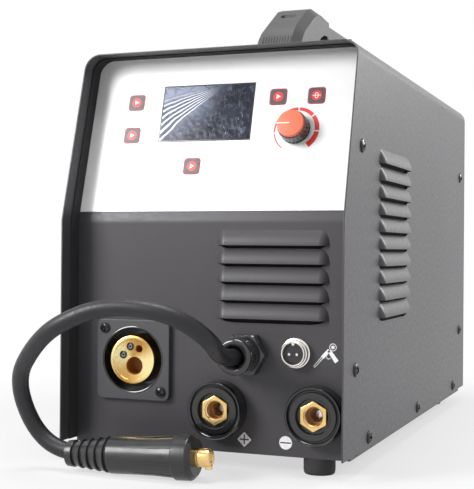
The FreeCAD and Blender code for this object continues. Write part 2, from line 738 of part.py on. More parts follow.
def make_screws():
    parts = []
    for side in ("-", ""):
        for y, z in SIDE_SCREWS:
            face = "case_width / 2"
            for radius, start, end in (("screw_head_radius", face, f"{face} + screw_head_height"),
                                       ("screw_shank_radius", f"{face} - screw_length", face)):
                low, high = (f"-({end})", f"-({start})") if side else (start, end)
                parts.append(rod(radius, low, high, y, z, along="x"))
    pairs = [fuse(parts[i], parts[i + 1]) for i in range(0, len(parts), 2)]
    node("cover_screws", group(*pairs))


# ---- spool door

def make_door():
    """The door leaf with its two hinge knuckles, turning about an upright pin outside the wall."""
    leaf = new_body("door_leaf")
    made = sketch(leaf, "YZ_Plane", "-case_width / 2")
    rectangle(made, "door_front_y + door_gap", "door_bottom + door_gap",
              "door_rear_y - door_gap", "door_top - door_gap")
    pad(leaf, made, "cover_sheet")
    made = sketch(leaf, "YZ_Plane", "-case_width / 2")
    circle(made, "door_front_y + latch_inset", "latch_height", "latch_shaft_radius + running_gap")
    pocket(leaf, made, "4 * cover_sheet", both=True)
    leaf.Label = "door_leaf"
    pieces = [leaf]
    bores = []
    for low in HINGES:
        start, end = f"{low} + hinge_length / 4 + fit", f"{low} + hinge_length * 3 / 4 - fit"
        pieces.append(block("-case_width / 2 - cover_sheet", "door_rear_y - hinge_leaf", start,
                            "-case_width / 2", "door_rear_y", end))
        pieces.append(rod("hinge_radius", start, end, "-hinge_x", "door_rear_y"))
        bores.append(rod("hinge_pin_radius + running_gap", f"{start} - 1", f"{end} + 1",
                         "-hinge_x", "door_rear_y"))
    node("spool_door", cut(fuse(*pieces), *bores))


def make_hinges():
    """Fixed hinge leaves on the cover, each with a pin through its own and the door's knuckle."""
    hinges = []
    for low in HINGES:
        pieces = [rod("hinge_pin_radius", low, f"{low} + hinge_length", "-hinge_x", "door_rear_y")]
        for start, end in ((low, f"{low} + hinge_length / 4"),
                           (f"{low} + hinge_length * 3 / 4", f"{low} + hinge_length")):
            pieces.append(rod("hinge_radius", start, end, "-hinge_x", "door_rear_y"))
            pieces.append(block("-case_width / 2 - cover_sheet", "door_rear_y", start,
                                "-case_width / 2", "door_rear_y + hinge_leaf", end))
        pieces.append(block("-case_width / 2 - cover_sheet", "door_rear_y + hinge_radius + 1", low,
                            "-case_width / 2", "door_rear_y + hinge_leaf", f"{low} + hinge_length"))
        hinges.append(fuse(*pieces))
    node("door_hinges", group(*hinges))


def make_latch():
    """Quarter-turn latch: a head outside the door and a cam behind the case's edge."""
    head = rod("latch_radius", "fit", "latch_head")
    wing = block("-latch_radius + 1", "-2.5", "latch_head",
                 "latch_radius - 1", "2.5", "latch_head + latch_wing")
    shaft = rod("latch_shaft_radius", "-cover_sheet - fit - cam_thickness", "fit")
    cam = block("-cam_width / 2", "-cam_width / 2", "-cover_sheet - fit - cam_thickness",
                "cam_width / 2", "cam_length", "-cover_sheet - fit")
    latch = fuse(head, wing, shaft, cam)
    node("door_latch", latch, "left", "-(door_front_y + latch_inset)", "latch_height")


# ---- carry handle

# Screw recesses of the handle: y from its middle, and the height of the floor.
HANDLE_SLOTS = [
    ("(handle_lean + handle_slot_inset - handle_half)", "(handle_height - handle_slot_depth)"),
    ("(handle_half - handle_slot_inset)", "(grip_top - handle_slot_depth)"),
]


def make_handle():
    """Moulded handle: a leaning front post with a raised nose, a grip and a lower rear post."""
    body = new_body("carry_handle")
    made = sketch(body, "YZ_Plane")
    rear_post = "handle_half - handle_post"
    outline(made, [
        ("-handle_half", "0"),
        ("-handle_half + handle_lean", "handle_chin"),
        ("nose_start", "handle_height"),
        ("nose_end", "handle_height"),
        ("grip_start", "grip_top"),
        ("handle_half - handle_nose", "grip_top"),
        ("handle_half", "handle_rear_chin"),
        ("handle_half", "0"),
        (rear_post, "0"),
        (rear_post, "grip_under - grip_corner"),
        (f"{rear_post} - grip_corner", "grip_under"),
        ("post_end + grip_corner", "grip_under"),
        ("post_end", "grip_under - grip_corner"),
        ("post_end", "0"),
    ])
    pad(body, made, "handle_width", both=True)
    side = size("handle_width") / 2
    chin, start = size("handle_chin"), size("grip_start")
    front = size("-handle_half + handle_lean")

    def outer_edge(edge):
        y, z = edge.CenterOfMass.y, edge.CenterOfMass.z
        on_side = all(abs(abs(v.Point.x) - side) < 0.01 for v in edge.Vertexes)
        return on_side and (y < front and z > 1 or z > chin + 1 and y < start - 3)

    dress(body, "Chamfer", "handle_chamfer", outer_edge)
    # Narrow the grip between the posts.
    for lift, back in (("grip_width / 2", True), ("-grip_width / 2", False)):
        made = sketch(body, "YZ_Plane", lift)
        rectangle(made, "grip_start", "grip_under - grip_corner", "handle_half - handle_nose",
                  "handle_height")
        pocket(body, made, "handle_width", back=back)
    half_grip = size("grip_width") / 2
    top = size("grip_top")
    dress(body, "Fillet", "grip_edge",
          lambda e: runs_along(e, "y") and abs(e.CenterOfMass.z - top) < 0.01
          and abs(abs(e.CenterOfMass.x) - half_grip) < 0.01)
    made = sketch(body)
    for y0, y1 in (("-handle_half", "post_end"), (rear_post, "handle_half")):
        rectangle(made, "-handle_pad_width / 2", y0, "handle_pad_width / 2", y1)
    pad(body, made, "handle_pad_height")
    # A long recess with round ends for two screws in each sloped end.
    for middle, floor in HANDLE_SLOTS:
        made = sketch(body, lift=floor)
        end = "(handle_slot_length - handle_slot_width) / 2"
        rectangle(made, f"-{end}", f"{middle} - handle_slot_width / 2",
                  end, f"{middle} + handle_slot_width / 2")
        pocket(body, made, "handle_slot_depth + 1", back=True)
        for x in (f"-{end}", end):
            made = sketch(body, lift=floor)
            circle(made, x, middle, "handle_slot_width / 2")
            pocket(body, made, "handle_slot_depth + 1", back=True)
    node("carry_handle", body, "floor", "0", "handle_y + handle_half", "case_top")


def make_handle_screws():
    """Two screws in the bottom of each recess."""
    screws = []
    for middle, floor in HANDLE_SLOTS:
        for x in ("-handle_slot_length / 4", "handle_slot_length / 4"):
            screws.append(rod("handle_screw_radius", f"case_top + {floor}",
                              f"case_top + {floor} + handle_screw_height", x,
                              f"handle_y + handle_half + {middle}"))
    node("handle_screws", group(*screws))


# ---- control panel on the slope

def make_overlay():
    body = new_body("control_overlay")
    made = sketch(body)
    arch(made, "inner_half", "overlay_bottom", "overlay_top - fit", "corner_radius")
    pad(body, made, "overlay_thickness")
    made = sketch(body)
    for x, v in KEYS:
        rectangle(made, f"{x} - key_width / 2 - key_gap", f"{v} - key_height / 2 - key_gap",
                  f"{x} + key_width / 2 + key_gap", f"{v} + key_height / 2 + key_gap")
    rectangle(made, "-window_left - key_gap", "window_bottom - key_gap",
              "window_right + key_gap", "window_top + key_gap")
    circle(made, "knob_x", "knob_v", "shaft_radius + 2")
    pocket(body, made)
    node("control_overlay", body, "slope")


def make_window():
    body = plate("display_window", "-window_left", "window_bottom", "window_right", "window_top",
                 "-panel_sheet - fit", "panel_sheet + fit + overlay_thickness + window_rise", "0.5", "slope")
    made = sketch(body, lift="-panel_sheet - fit")
    rectangle(made, "-window_left - 2", "window_bottom - 2", "window_right + 2", "window_top + 2")
    pad(body, made, "collar", back=True)


def make_keys():
    for number, (x, v) in enumerate(KEYS, start=1):
        body = plate(f"key_{number}", "-key_width / 2", "-key_height / 2", "key_width / 2", "key_height / 2",
                     "-panel_sheet - fit", "panel_sheet + fit + overlay_thickness + key_rise",
                     "key_corner", "slope", x, v)
        made = sketch(body, lift="-panel_sheet - fit")
        rectangle(made, "-key_width / 2 - collar", "-key_height / 2 - collar",
                  "key_width / 2 + collar", "key_height / 2 + collar")
        pad(body, made, "collar", back=True)
        made = sketch(body, lift="-panel_sheet - fit - collar")
        circle(made, "0", "0", "2")
        pad(body, made, "board_drop - panel_sheet - fit - collar - key_switch_height", back=True)


def make_control_board():
    """Circuit board behind the slope with key switches, spacers and the potentiometer."""
    board = block("-board_half", "board_bottom", "-board_drop - board_thickness",
                  "board_half", "board_top", "-board_drop")
    pieces = [board]
    half = "key_switch_half"
    for x, v in KEYS:
        pieces.append(block(f"{x} - {half}", f"{v} - {half}", "-board_drop", f"{x} + {half}",
                            f"{v} + {half}", "-board_drop + key_switch_height - key_travel - fit"))
    for x in ("-board_half + 4", "board_half - 4"):
        for v in ("board_bottom + 4", "board_bottom + 34"):
            pieces.append(rod("3", "-board_drop", "-panel_sheet - fit", x, v))
    pieces.append(rod("pot_radius", "-board_drop", "-4", "knob_x", "knob_v"))
    pieces.append(block("-window_left", "window_bottom", "-board_drop", "window_right", "window_top",
                        "-panel_sheet - collar - 2 * fit"))
    bore = rod("shaft_radius + running_gap", "-9", "0", "knob_x", "knob_v")
    node("control_board", cut(fuse(*pieces), bore), "slope")


def make_knob():
    base = "overlay_thickness + knob_gap"
    skirt = cone("knob_radius", "knob_radius - 0.6", base, "knob_rise")
    shaft = rod("shaft_radius", "-8.5", base)
    node("knob_body", fuse(skirt, shaft), "slope", "knob_x", "knob_v")
    cap = rod("knob_cap_radius", "knob_rise", "knob_rise + knob_cap_thickness")
    pointer = block("-knob_radius", "-1", "knob_rise", "0", "1", "knob_rise + knob_cap_thickness")
    node("knob_cap", fuse(cap, pointer), "slope", "knob_x", "knob_v")


# ---- torch connector

def make_euro():
    body = new_body("euro_housing")
    made = sketch(body)
    rectangle(made, "-euro_flange / 2", "-euro_flange / 2", "euro_flange / 2", "euro_flange / 2")
    pad(body, made, "euro_flange_thickness")
    dress(body, "Fillet", "euro_corner", upright)
    made = sketch(body)
    circle(made, "0", "0", "euro_recess_radius + euro_wall")
    pad(body, made, "euro_depth", back=True)
    made = sketch(body, lift="euro_flange_thickness")
    circle(made, "0", "0", "euro_recess_radius")
    pocket(body, made, "euro_flange_thickness + euro_depth - 4")
    made = sketch(body)
    circle(made, "0", "0", "euro_brass_radius + fit / 3")
    pocket(body, made)
    made = sketch(body)
    circle(made, "-euro_screw_spacing / 2", "euro_screw_spacing / 2", "1.6")
    circle(made, "euro_screw_spacing / 2", "-euro_screw_spacing / 2", "1.6")
    pocket(body, made)
    node("euro_housing", body, "front", "-euro_x", "euro_z")

    brass = rod("euro_brass_radius", "euro_brass_rise - euro_brass_length", "euro_brass_rise",
                "-euro_x", "euro_z")
    tools = [rod("wire_bore_radius", "euro_brass_rise - euro_brass_length - 1", "euro_brass_rise + 1",
                 "-wire_x", "wire_z"),
             rod("gas_bore_radius", "euro_brass_rise - 20", "euro_brass_rise + 1", *GAS_BORE)]
    for x, z in CONTACTS:
        tools.append(rod("contact_radius", "euro_brass_rise - 10", "euro_brass_rise + 1", x, z))
    node("euro_brass", cut(brass, *tools), "front")

    contacts = []
    for x, z in CONTACTS:
        ring = rod("contact_radius - 0.1", "euro_brass_rise - 10", "euro_brass_rise + 0.4", x, z)
        bore = rod("1.6", "euro_brass_rise - 6", "euro_brass_rise + 1", x, z)
        contacts.append(cut(ring, bore))
    node("euro_contacts", group(*contacts), "front")

    screws = []
    for sign in ("-", ""):
        other = "" if sign else "-"
        at = (f"{sign}euro_screw_spacing / 2", f"{other}euro_screw_spacing / 2")
        head = rod("3.4", "euro_flange_thickness", "euro_flange_thickness + 1.8", *at)
        shank = rod("1.5", "0.2", "euro_flange_thickness", *at)
        screws.append(fuse(head, shank))
    node("euro_screws", group(*screws), "front", "-euro_x", "euro_z")


# ---- current sockets, gland and control socket

def make_sockets():
    for label, x in (("plus", "plus_x"), ("minus", "minus_x")):
        ring = cone("socket_radius", "socket_radius - 1", "0", "socket_rise")
        neck = rod("socket_neck_radius", "-16", "0")
        nut = hexagon("2 * socket_neck_radius + 8", "-panel_sheet - fit - 6", "-panel_sheet - fit")
        recess = rod("socket_recess_radius", "socket_rise - socket_recess_depth", "socket_rise + 1")
        seat = hexagon("socket_hex + fit", "-20", "socket_rise", CORNER_UP)
        node(f"socket_{label}_housing", cut(fuse(ring, neck, nut), recess, seat), "front", x, "socket_z")
        brass = hexagon("socket_hex", "-16", "socket_hex_rise", CORNER_UP)
        stud = rod("socket_stud_radius", "-socket_stud_length", "-16")
        bore = rod("socket_bore_radius", "socket_hex_rise - socket_bore_depth", "socket_hex_rise + 1")
        node(f"socket_{label}_brass", cut(fuse(brass, stud), bore), "front", x, "socket_z")


def make_gland(prefix, hexagon_size, bore_radius, bore_depth, frame, x, y):
    """A cable gland: hexagonal body with its lock nut, and a domed cap."""
    body = hexagon(hexagon_size, "0", "gland_hex_thickness")
    neck = rod("gland_neck_radius", "-14", "0")
    nut = hexagon(f"{hexagon_size} - 1", "-panel_sheet - fit - 5", "-panel_sheet - fit")
    node(f"{prefix}_body", fuse(body, neck, nut), frame, x, y)
    end = "gland_hex_thickness + gland_cap_length"
    dome = rod("gland_cap_radius", "gland_hex_thickness", end)
    doc.recompute()
    tip = size(end)
    dome = blend(dome, "gland_cap_radius - cable_radius - 2",
                 lambda e: isinstance(e.Curve, Part.Circle) and e.CenterOfMass.z > tip - 0.01)
    mouth = rod(bore_radius, f"{end} - ({bore_depth})", f"{end} + 1")
    node(f"{prefix}_cap", cut(dome, mouth), frame, x, y)


def make_control_socket():
    ring = rod("control_radius", "0", "control_rise")
    neck = rod("control_neck_radius", "-12", "0")
    nut = hexagon("control_radius * 2", "-panel_sheet - fit - 3", "-panel_sheet - fit")
    bore = rod("control_bore_radius", "control_rise - 6.5", "control_rise + 1")
    node("control_socket", cut(fuse(ring, neck, nut), bore), "front", "control_x", "control_z")
    insert = rod("control_bore_radius - fit / 3", "control_rise - 6.5", "control_rise - 4")
    pins = [rod("1.1", "control_rise - 4.5", "control_rise - 0.5", x, "0") for x in ("-2.6", "2.6")]
    node("control_socket_insert", fuse(insert, *pins), "front", "control_x", "control_z")


# ---- polarity cable

# Route of the cable from the mouth of its gland to the inside of the plug's sleeve: x and y from
# the mouth, z from the floor.
CABLE_ROUTE = [
    (0, 0, 84.2), (0, -27, 84.2), (2.5, -55, 101), (-19, -72, 118.5), (-63, -76, 122.5),
    (-97, -80, 109.5), (-121, -71, 93), (-148, -50, 66.5), (-145.5, -31.5, 29.5),
    (-122.5, -30, 12.5), (-101.5, -29.5, 13.3),
]
ARC_SHARE = 0.45


def route_points():
    mouth = Vector(size("gland_x"), size("gland_mouth_y"), 0)
    return [mouth + Vector(*point) for point in CABLE_ROUTE]


def rounded_path(points):
    """Straight runs joined by tangent arcs as large as the runs allow, with the radii."""
    edges = []
    radii = []
    start = points[0]
    for before, corner, after in zip(points, points[1:], points[2:]):
        back, forward = before - corner, after - corner
        reach = ARC_SHARE * min(back.Length, forward.Length)
        back.normalize()
        forward.normalize()
        turn = math.pi - back.getAngle(forward)
        radii.append(reach / math.tan(turn / 2))
        enter = corner + back * reach
        leave = corner + forward * reach
        inward = (back + forward).normalize()
        middle = corner + inward * (radii[-1] / math.cos(turn / 2) - radii[-1])
        edges.append(Part.LineSegment(start, enter).toShape())
        edges.append(Part.Arc(enter, middle, leave).toShape())
        start = leave
    edges.append(Part.LineSegment(start, points[-1]).toShape())
    return Part.Wire(edges), radii


def make_cable():
    points = route_points()
    path, radii = rounded_path(points)
    radius = size("cable_radius")
    section = Part.Wire(Part.makeCircle(radius, points[0], points[1] - points[0]))
    tube = path.makePipeShell([section], True, False)
    expected = math.pi * radius ** 2 * path.Length
    print("cable radii", [round(r, 1) for r in radii])
    print("cable length %.1f, volume %.0f against %.0f" % (path.Length, tube.Volume, expected))
    if abs(tube.Volume - expected) > 0.005 * expected:
        raise RuntimeError("the cable's volume is wrong")
    cable = doc.addObject("Part::Feature", "cable")
    cable.Shape = tube
    node("polarity_cable", cable)


def make_plug():
    """Plug on the end of the cable, in line with the route's last run."""
    body = new_body("plug_body")
    made = sketch(body, "XZ_Plane")
    profile = [("0", "0"), ("sleeve_end_radius", "0")]
    ribs = 4
    for i in range(ribs):
        low = f"sleeve_length * {i} / {ribs}"
        high = f"sleeve_length * {i + 1} / {ribs}"
        rise = "(plug_radius - sleeve_end_radius)"
        profile.append((f"sleeve_end_radius + {rise} * {i + 1} / {ribs}", f"{high} - 1.6"))
        profile.append((f"sleeve_end_radius + {rise} * {i + 0.3} / {ribs}", f"{high} - 1.2"))
        profile.append((f"sleeve_end_radius + {rise} * {i + 0.3} / {ribs}", high))
        if i < ribs - 1:
            profile.append((f"sleeve_end_radius + {rise} * {i + 0.8} / {ribs}", f"{high} + 0.2"))
    collar = "plug_length - plug_collar_length"
    profile += [
        ("plug_radius - 0.3", "sleeve_length + 0.2"),
        ("plug_radius + 0.3", f"{collar} - 4"),
        ("plug_collar_radius", collar),
        ("plug_collar_radius", "plug_length - 4"),
        ("plug_collar_radius - 4", "plug_length"),
        ("0", "plug_length"),
    ]
    outline(made, profile)
    turned = body.newObject("PartDesign::Revolution", "Turned")
    turned.Profile = made
    turned.ReferenceAxis = (origin_of(body, "Z_Axis"), [""])
    turned.Angle = 360
    made = sketch(body)
    circle(made, "0", "0", "cable_radius + fit")
    pocket(body, made, "plug_socket_depth", back=True)
    before, end = route_points()[-2:]
    along = (end - before).normalize()
    mouth = end - along * size("plug_socket_depth")
    turn = Rotation(Vector(0, 0, 1), along)
    for label, thing in (("plug_body", body), ("plug_pin", plug_pin())):
        node(label, thing)
        for axis in "xyz":
            thing.setExpression(f".Placement.Base.{axis}", None)
        thing.Placement = Placement(mouth, turn)


def plug_pin():
    end = "plug_length + plug_pin_length"
    pin = rod("plug_pin_radius", "plug_length", end)
    lug = block("0", "-2", f"{end} - 4", "plug_pin_radius + 1.6", "2", end)
    return fuse(pin, lug)


# ---- spool and feeder

def make_spool():
    half = "spool_width / 2"
    core = rod("spool_core_radius", f"-{half}", half, along="x")
    flanges = [rod("spool_radius", f"-{half}", f"-{half} + spool_flange", along="x"),
               rod("spool_radius", f"{half} - spool_flange", half, along="x")]
    bore = rod("spool_bore_radius", f"-{half} - 1", f"{half} + 1", along="x")
    windows = []
    for i in range(6):
        window = rod("spool_window_radius", f"-{half} - 1", f"{half} + 1", along="x")
        angle = f"{60 * i} deg"
        place(window, (f"-{half} - 1", f"spool_window_circle * cos({angle})",
                       f"spool_window_circle * sin({angle})"), ALONG["x"])
        windows.append(window)
    at = ("-spool_x", "spool_y", "spool_z")
    node("wire_spool", cut(fuse(core, *flanges), bore, *windows), "floor", *at)
    coil = rod("winding_radius", f"-{half} + spool_flange + fit", f"{half} - spool_flange - fit", along="x")
    hole = rod("spool_core_radius + fit", f"-{half}", half, along="x")
    node("wire_winding", cut(coil, hole), "floor", *at)
    hub = rod("spool_bore_radius - hub_clearance", f"-{half} - 4", half, along="x")
    stop = rod("hub_flange_radius", half, f"{half} + 3", along="x")
    through = rod("axle_radius + running_gap", f"-{half} - 5", f"{half} + 4", along="x")
    node("spool_hub", cut(fuse(hub, stop), through), "floor", *at)
    axle = rod("axle_radius", f"-{half} - 4.3", "spool_x - divider_x", along="x")
    nut = rod("axle_radius + 6", f"-{half} - 12.3", f"-{half} - 4.3", along="x")
    shoulder = rod("axle_radius + 6", f"{half} + 3.3", "spool_x - divider_x", along="x")
    tail = rod("axle_radius - 2.3", "spool_x - divider_x", "spool_x - divider_x + 8", along="x")
    node("hub_axle", fuse(axle, nut, shoulder, tail), "floor", *at)


def make_feeder():
    y, z = "-feed_y", "drive_z"
    box = block("-feed_plate_x", f"{y} - gearbox / 2", f"{z} - gearbox / 2",
                "-divider_x", f"{y} + gearbox / 2", f"{z} + gearbox / 2")
    neck = rod("axle_radius + 2", "-divider_x", "-divider_x + panel_sheet + 2", y, z, along="x")
    motor = rod("motor_radius", "-divider_x + panel_sheet + 2", "-divider_x + motor_length", y, z, along="x")
    shaft_hole = rod("5 + running_gap", "-feed_plate_x - 1", "-feed_plate_x + 10", y, z, along="x")
    node("wire_feed_motor", cut(fuse(box, neck, motor), shaft_hole))

    plate_body = block("-feed_face_x", f"{y} - 42", "drive_z - gearbox / 2", "-feed_plate_x", f"{y} + 42",
                       "arm_pivot_z + 10")
    pin = rod("arm_pin_radius", "-feed_face_x - arm_thickness - 3", "-feed_face_x",
              "-arm_pivot_y", "arm_pivot_z", along="x")
    guides = []
    for y0, y1 in ((f"{y} - 42", f"{y} - 10"), (f"{y} + 10", f"{y} + 42")):
        guides.append(block("-wire_x - 5", y0, "wire_z - 5", "-feed_face_x", y1, "wire_z + 5"))
    holes = [rod("5 + fit", "-feed_face_x - 1", "-feed_plate_x + 1", y, z, along="x"),
             rod("1.5", f"{y} - 43", f"{y} + 43", "-wire_x", "wire_z", along="y"),
             rod("drive_roll_radius + 1", "-wire_x - roll_width", "-wire_x + roll_width / 2 + 1", y, z,
                 along="x"),
             rod("idler_radius + 1", "-wire_x - roll_width", "-wire_x + roll_width / 2 + 1", y, "idler_z",
                 along="x")]
    node("feed_plate", cut(fuse(plate_body, pin, *guides), *holes))

    roll = rod("drive_roll_radius", "-wire_x - roll_width / 2", "-wire_x + roll_width / 2", y, z, along="x")
    spindle = rod("5", "-wire_x - roll_width / 2 - 3", "-feed_plate_x + 9", y, z, along="x")
    node("drive_roll", fuse(roll, spindle))

    face = "-feed_face_x - 1"
    bar = block(f"{face} - arm_thickness", "-arm_pivot_y", "arm_pivot_z - arm_height / 2",
                face, "-arm_pivot_y + arm_length", "arm_pivot_z + arm_height / 2")
    boss = rod("arm_height / 2", f"{face} - arm_thickness", face, "-arm_pivot_y", "arm_pivot_z", along="x")
    ear = block("-wire_x - roll_width / 2", "-arm_pivot_y + arm_length - 16", "arm_pivot_z + 1",
                face, "-arm_pivot_y + arm_length", "arm_pivot_z + arm_height / 2")
    stub = rod("arm_pin_radius", "-wire_x - roll_width / 2 - 2", face, y, "idler_z", along="x")
    drop = block(f"{face} - arm_thickness", f"{y} - 6", "idler_z - 5", face, f"{y} + 6", "arm_pivot_z")
    bore = rod("arm_pin_radius + running_gap", f"{face} - arm_thickness - 1", f"{face} + 1",
               "-arm_pivot_y", "arm_pivot_z", along="x")
    stud_hole = rod("3 + running_gap", "arm_pivot_z - 1", "arm_pivot_z + arm_height",
                    "-wire_x", "-arm_pivot_y + arm_length - 8")
    node("pressure_arm", cut(fuse(bar, boss, ear, stub, drop), bore, stud_hole))

    wheel = rod("idler_radius", "-wire_x - roll_width / 2", f"{face} - arm_thickness - fit", y, "idler_z",
                along="x")
    wheel_bore = rod("arm_pin_radius + running_gap", "-wire_x - roll_width", f"{face}", y, "idler_z",
                     along="x")
    node("idler_roll", cut(wheel, wheel_bore))

    base = "arm_pivot_z + arm_height / 2 + fit"
    grip = rod("tension_radius", base, f"{base} + tension_height", "-wire_x", "-arm_pivot_y + arm_length - 8")
    stud = rod("3", "arm_pivot_z + 1.5", base, "-wire_x", "-arm_pivot_y + arm_length - 8")
    node("tension_knob", fuse(grip, stud))


# ---- power side

def make_power_side():
    """Finned heatsink with the inverter board on it, and the transformer behind."""
    body = new_body("heatsink")
    made = sketch(body, lift="tray_top")
    rectangle(made, "sink_left", "sink_front", "sink_right", "sink_rear")
    pad(body, made, "sink_height")
    slot = sketch(body, lift="tray_top + sink_base")
    rectangle(slot, "sink_left + fin_gap + 1", "sink_front - 1", "sink_left + 2 * fin_gap + 1",
              "sink_rear + 1")
    slot = pocket(body, slot, "sink_height", back=True)
    repeat(body, [slot], "X_Axis", "fin_gaps", "fin_pitch")
    node("heatsink", body)

    low = "tray_top + sink_height"
    face = f"{low} + 2"
    parts = [block("sink_left - 2", "sink_front - 2", low, "sink_right + 2", "sink_rear + 10", face)]
    for y in ("sink_front + 2 * cap_radius", "sink_front + 2 * cap_radius + cap_row"):
        for x in ("sink_left + cap_radius", "sink_right - 2 * cap_radius"):
            parts.append(rod("cap_radius", face, f"{face} + cap_height", x, y))
    parts.append(block("sink_left + 10", "sink_rear - choke_length", face, "sink_right - 14",
                       "sink_rear - 2", f"{face} + choke_height"))
    node("inverter_board", fuse(*parts))

    core = block("core_left", "core_front", "tray_top", "core_right", "core_rear", "tray_top + core_height")
    winding = block("core_left + coil_inset", "core_front - coil_overhang", "tray_top + 2 * coil_inset",
                    "core_right - coil_inset", "core_rear + coil_overhang",
                    "tray_top + core_height - 2 * coil_inset")
    node("transformer", fuse(core, winding))


def make_fan():
    """Axial fan against the inside of the rear panel, its own z outwards to the back."""
    half = "fan_size / 2"
    frame = block(f"-{half}", f"-{half}", "-fan_depth", half, half, "0")
    bore = rod("fan_bore_radius", "-fan_depth - 1", "1")
    carrier = [rod("fan_hub_radius", "-4", "0"),
               block(f"-{half}", "-4", "-4", half, "4", "0"),
               block("-4", f"-{half}", "-4", "4", half, "0")]
    bearing = rod("fan_shaft_radius + running_gap", "-6", "1")
    node("fan_frame", cut(fuse(cut(frame, bore), *carrier), bearing), "rear", "-fan_x", "fan_z",
         "-panel_sheet - fit")
    hub = rod("fan_hub_radius", "-fan_depth + 2", "-4 - fit")
    shaft = rod("fan_shaft_radius", "-5", "-1")
    blades = []
    for i in range(7):
        blade = block("0", "0", "0", "fan_bore_radius - fan_tip_gap", "blade_width", "blade_sheet")
        place(blade, ("0", "0", "-fan_depth / 2 - 5"),
              Rotation(Vector(0, 0, 1), 360 * i / 7) * Rotation(Vector(1, 0, 0), 38))
        blades.append(blade)
    limit = rod("fan_bore_radius - fan_tip_gap", "-fan_depth + 2", "-4 - fit")
    wheel = doc.addObject("Part::MultiCommon", "Common")
    wheel.Shapes = [fuse(hub, *blades), limit]
    node("fan_rotor", fuse(wheel, shaft), "rear", "-fan_x", "fan_z", "-panel_sheet - fit")


# ---- rear fittings

def make_switch():
    """Mains rocker switch on the back."""
    bezel = block("-switch_width / 2", "-switch_height / 2", "0",
                  "switch_width / 2", "switch_height / 2", "2")
    housing = block("-switch_width / 2 + 2.3", "-switch_height / 2 + 2.3", "-24",
                    "switch_width / 2 - 2.3", "switch_height / 2 - 2.3", "0")
    well = block("-rocker_width / 2 - fit", "-rocker_length / 2 - fit", "-12",
                 "rocker_width / 2 + fit", "rocker_length / 2 + fit", "3")
    holes = rod("1.5 + running_gap", "-rocker_width / 2 - 2.5", "rocker_width / 2 + 2.5",
                "0", "-rocker_pivot", along="x")
    node("power_switch", cut(fuse(bezel, housing), well, holes), "rear", "switch_x", "switch_z")
    # The rocker is drawn about its pivot and stands tilted to its off side.
    body = new_body("switch_rocker")
    made = sketch(body, "YZ_Plane")
    made.AttachmentOffset = Placement(Vector(), Rotation(Vector(0, 0, 1), size("rocker_tilt")))
    bind(made, ".AttachmentOffset.Rotation.Angle", "rocker_tilt")
    outline(made, [
        ("-rocker_length / 2 + 1.4", "4.2"), ("-rocker_length / 2 + 5", "-4"),
        ("rocker_length / 2 - 5", "-4"), ("rocker_length / 2 - 1.4", "4.2"),
        ("rocker_length / 2 - 1.6", "5.6"), ("0", "3.2"), ("-rocker_length / 2 + 1.6", "5.6"),
    ])
    pad(body, made, "rocker_width", both=True)
    made = sketch(body, "YZ_Plane")
    circle(made, "0", "0", "1.5")
    pad(body, made, "rocker_width + 4", both=True)
    node("switch_rocker", body, "rear", "switch_x", "switch_z", "-rocker_pivot")


def make_gas_inlet():
    base = hexagon("14", "0", "gas_base")
    neck = rod("gas_barb_radius + 2", "-12", "0")
    barb = rod("gas_barb_radius", "gas_base", "gas_barb_length")
    tip = cone("gas_barb_radius + 0.8", "gas_barb_radius - 0.6", "gas_barb_length", "gas_barb_length + 5")
    bore = rod("2", "-13", "gas_barb_length + 6")
    node("gas_inlet", cut(fuse(base, neck, barb, tip), bore), "rear", "gas_x", "gas_z")


def make_all():
    make_tray()
    make_front_panel()
    make_control_panel()
    make_panel_flange("panel_flange_left", "-inner_half")
    make_panel_flange("panel_flange_right", "inner_half - panel_sheet")
    make_rear_panel()
    make_cover()
    make_divider()
    make_feet()
    make_screws()
    make_door()
    make_hinges()
    make_latch()
    make_handle()
    make_handle_screws()
    make_overlay()
    make_window()
    make_keys()
    make_control_board()
    make_knob()
    make_euro()
    make_sockets()
    make_gland("cable_gland", "gland_hex", "cable_radius + fit", "gland_mouth_depth",
               "front", "gland_x", "gland_z")
    make_control_socket()
    make_cable()
    make_plug()
    make_spool()
    make_feeder()
    make_power_side()
    make_fan()
    make_switch()
    make_gland("mains_gland", "inlet_hex", "inlet_bore_radius", "gland_cap_length", "rear",
               "inlet_x", "inlet_z")
    make_gas_inlet()


def check_and_export():
    doc.recompute()
    for thing in doc.Objects:
        if "Invalid" in thing.State or "Error" in thing.State:
            raise RuntimeError(f"{thing.Name} ({thing.Label}) failed: {thing.State}")
    for thing in NODES:
        shape = thing.Shape
        if shape.isNull() or not shape.isValid() or not shape.Solids:
            raise RuntimeError(f"{thing.Label} has no valid solid")
    os.makedirs("parts", exist_ok=True)
    for thing in NODES:
        box = thing.Shape.BoundBox
        print("%-22s %2d solids  %9.0f mm3  x %7.1f %7.1f  y %7.1f %7.1f  z %7.1f %7.1f" % (
            thing.Label, len(thing.Shape.Solids), thing.Shape.Volume,
            box.XMin, box.XMax, box.YMin, box.YMax, box.ZMin, box.ZMax))
        thing.Shape.exportStep(f"parts/{thing.Label}.step")
    print(len(NODES), "nodes")


make_all()
check_and_export()
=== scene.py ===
import json
import math

import bmesh
import bpy
from bpy.props import FloatProperty, FloatVectorProperty, IntProperty, PointerProperty
from bpy.types import Operator, Panel, PropertyGroup
from mathutils import Euler, Matrix, Vector

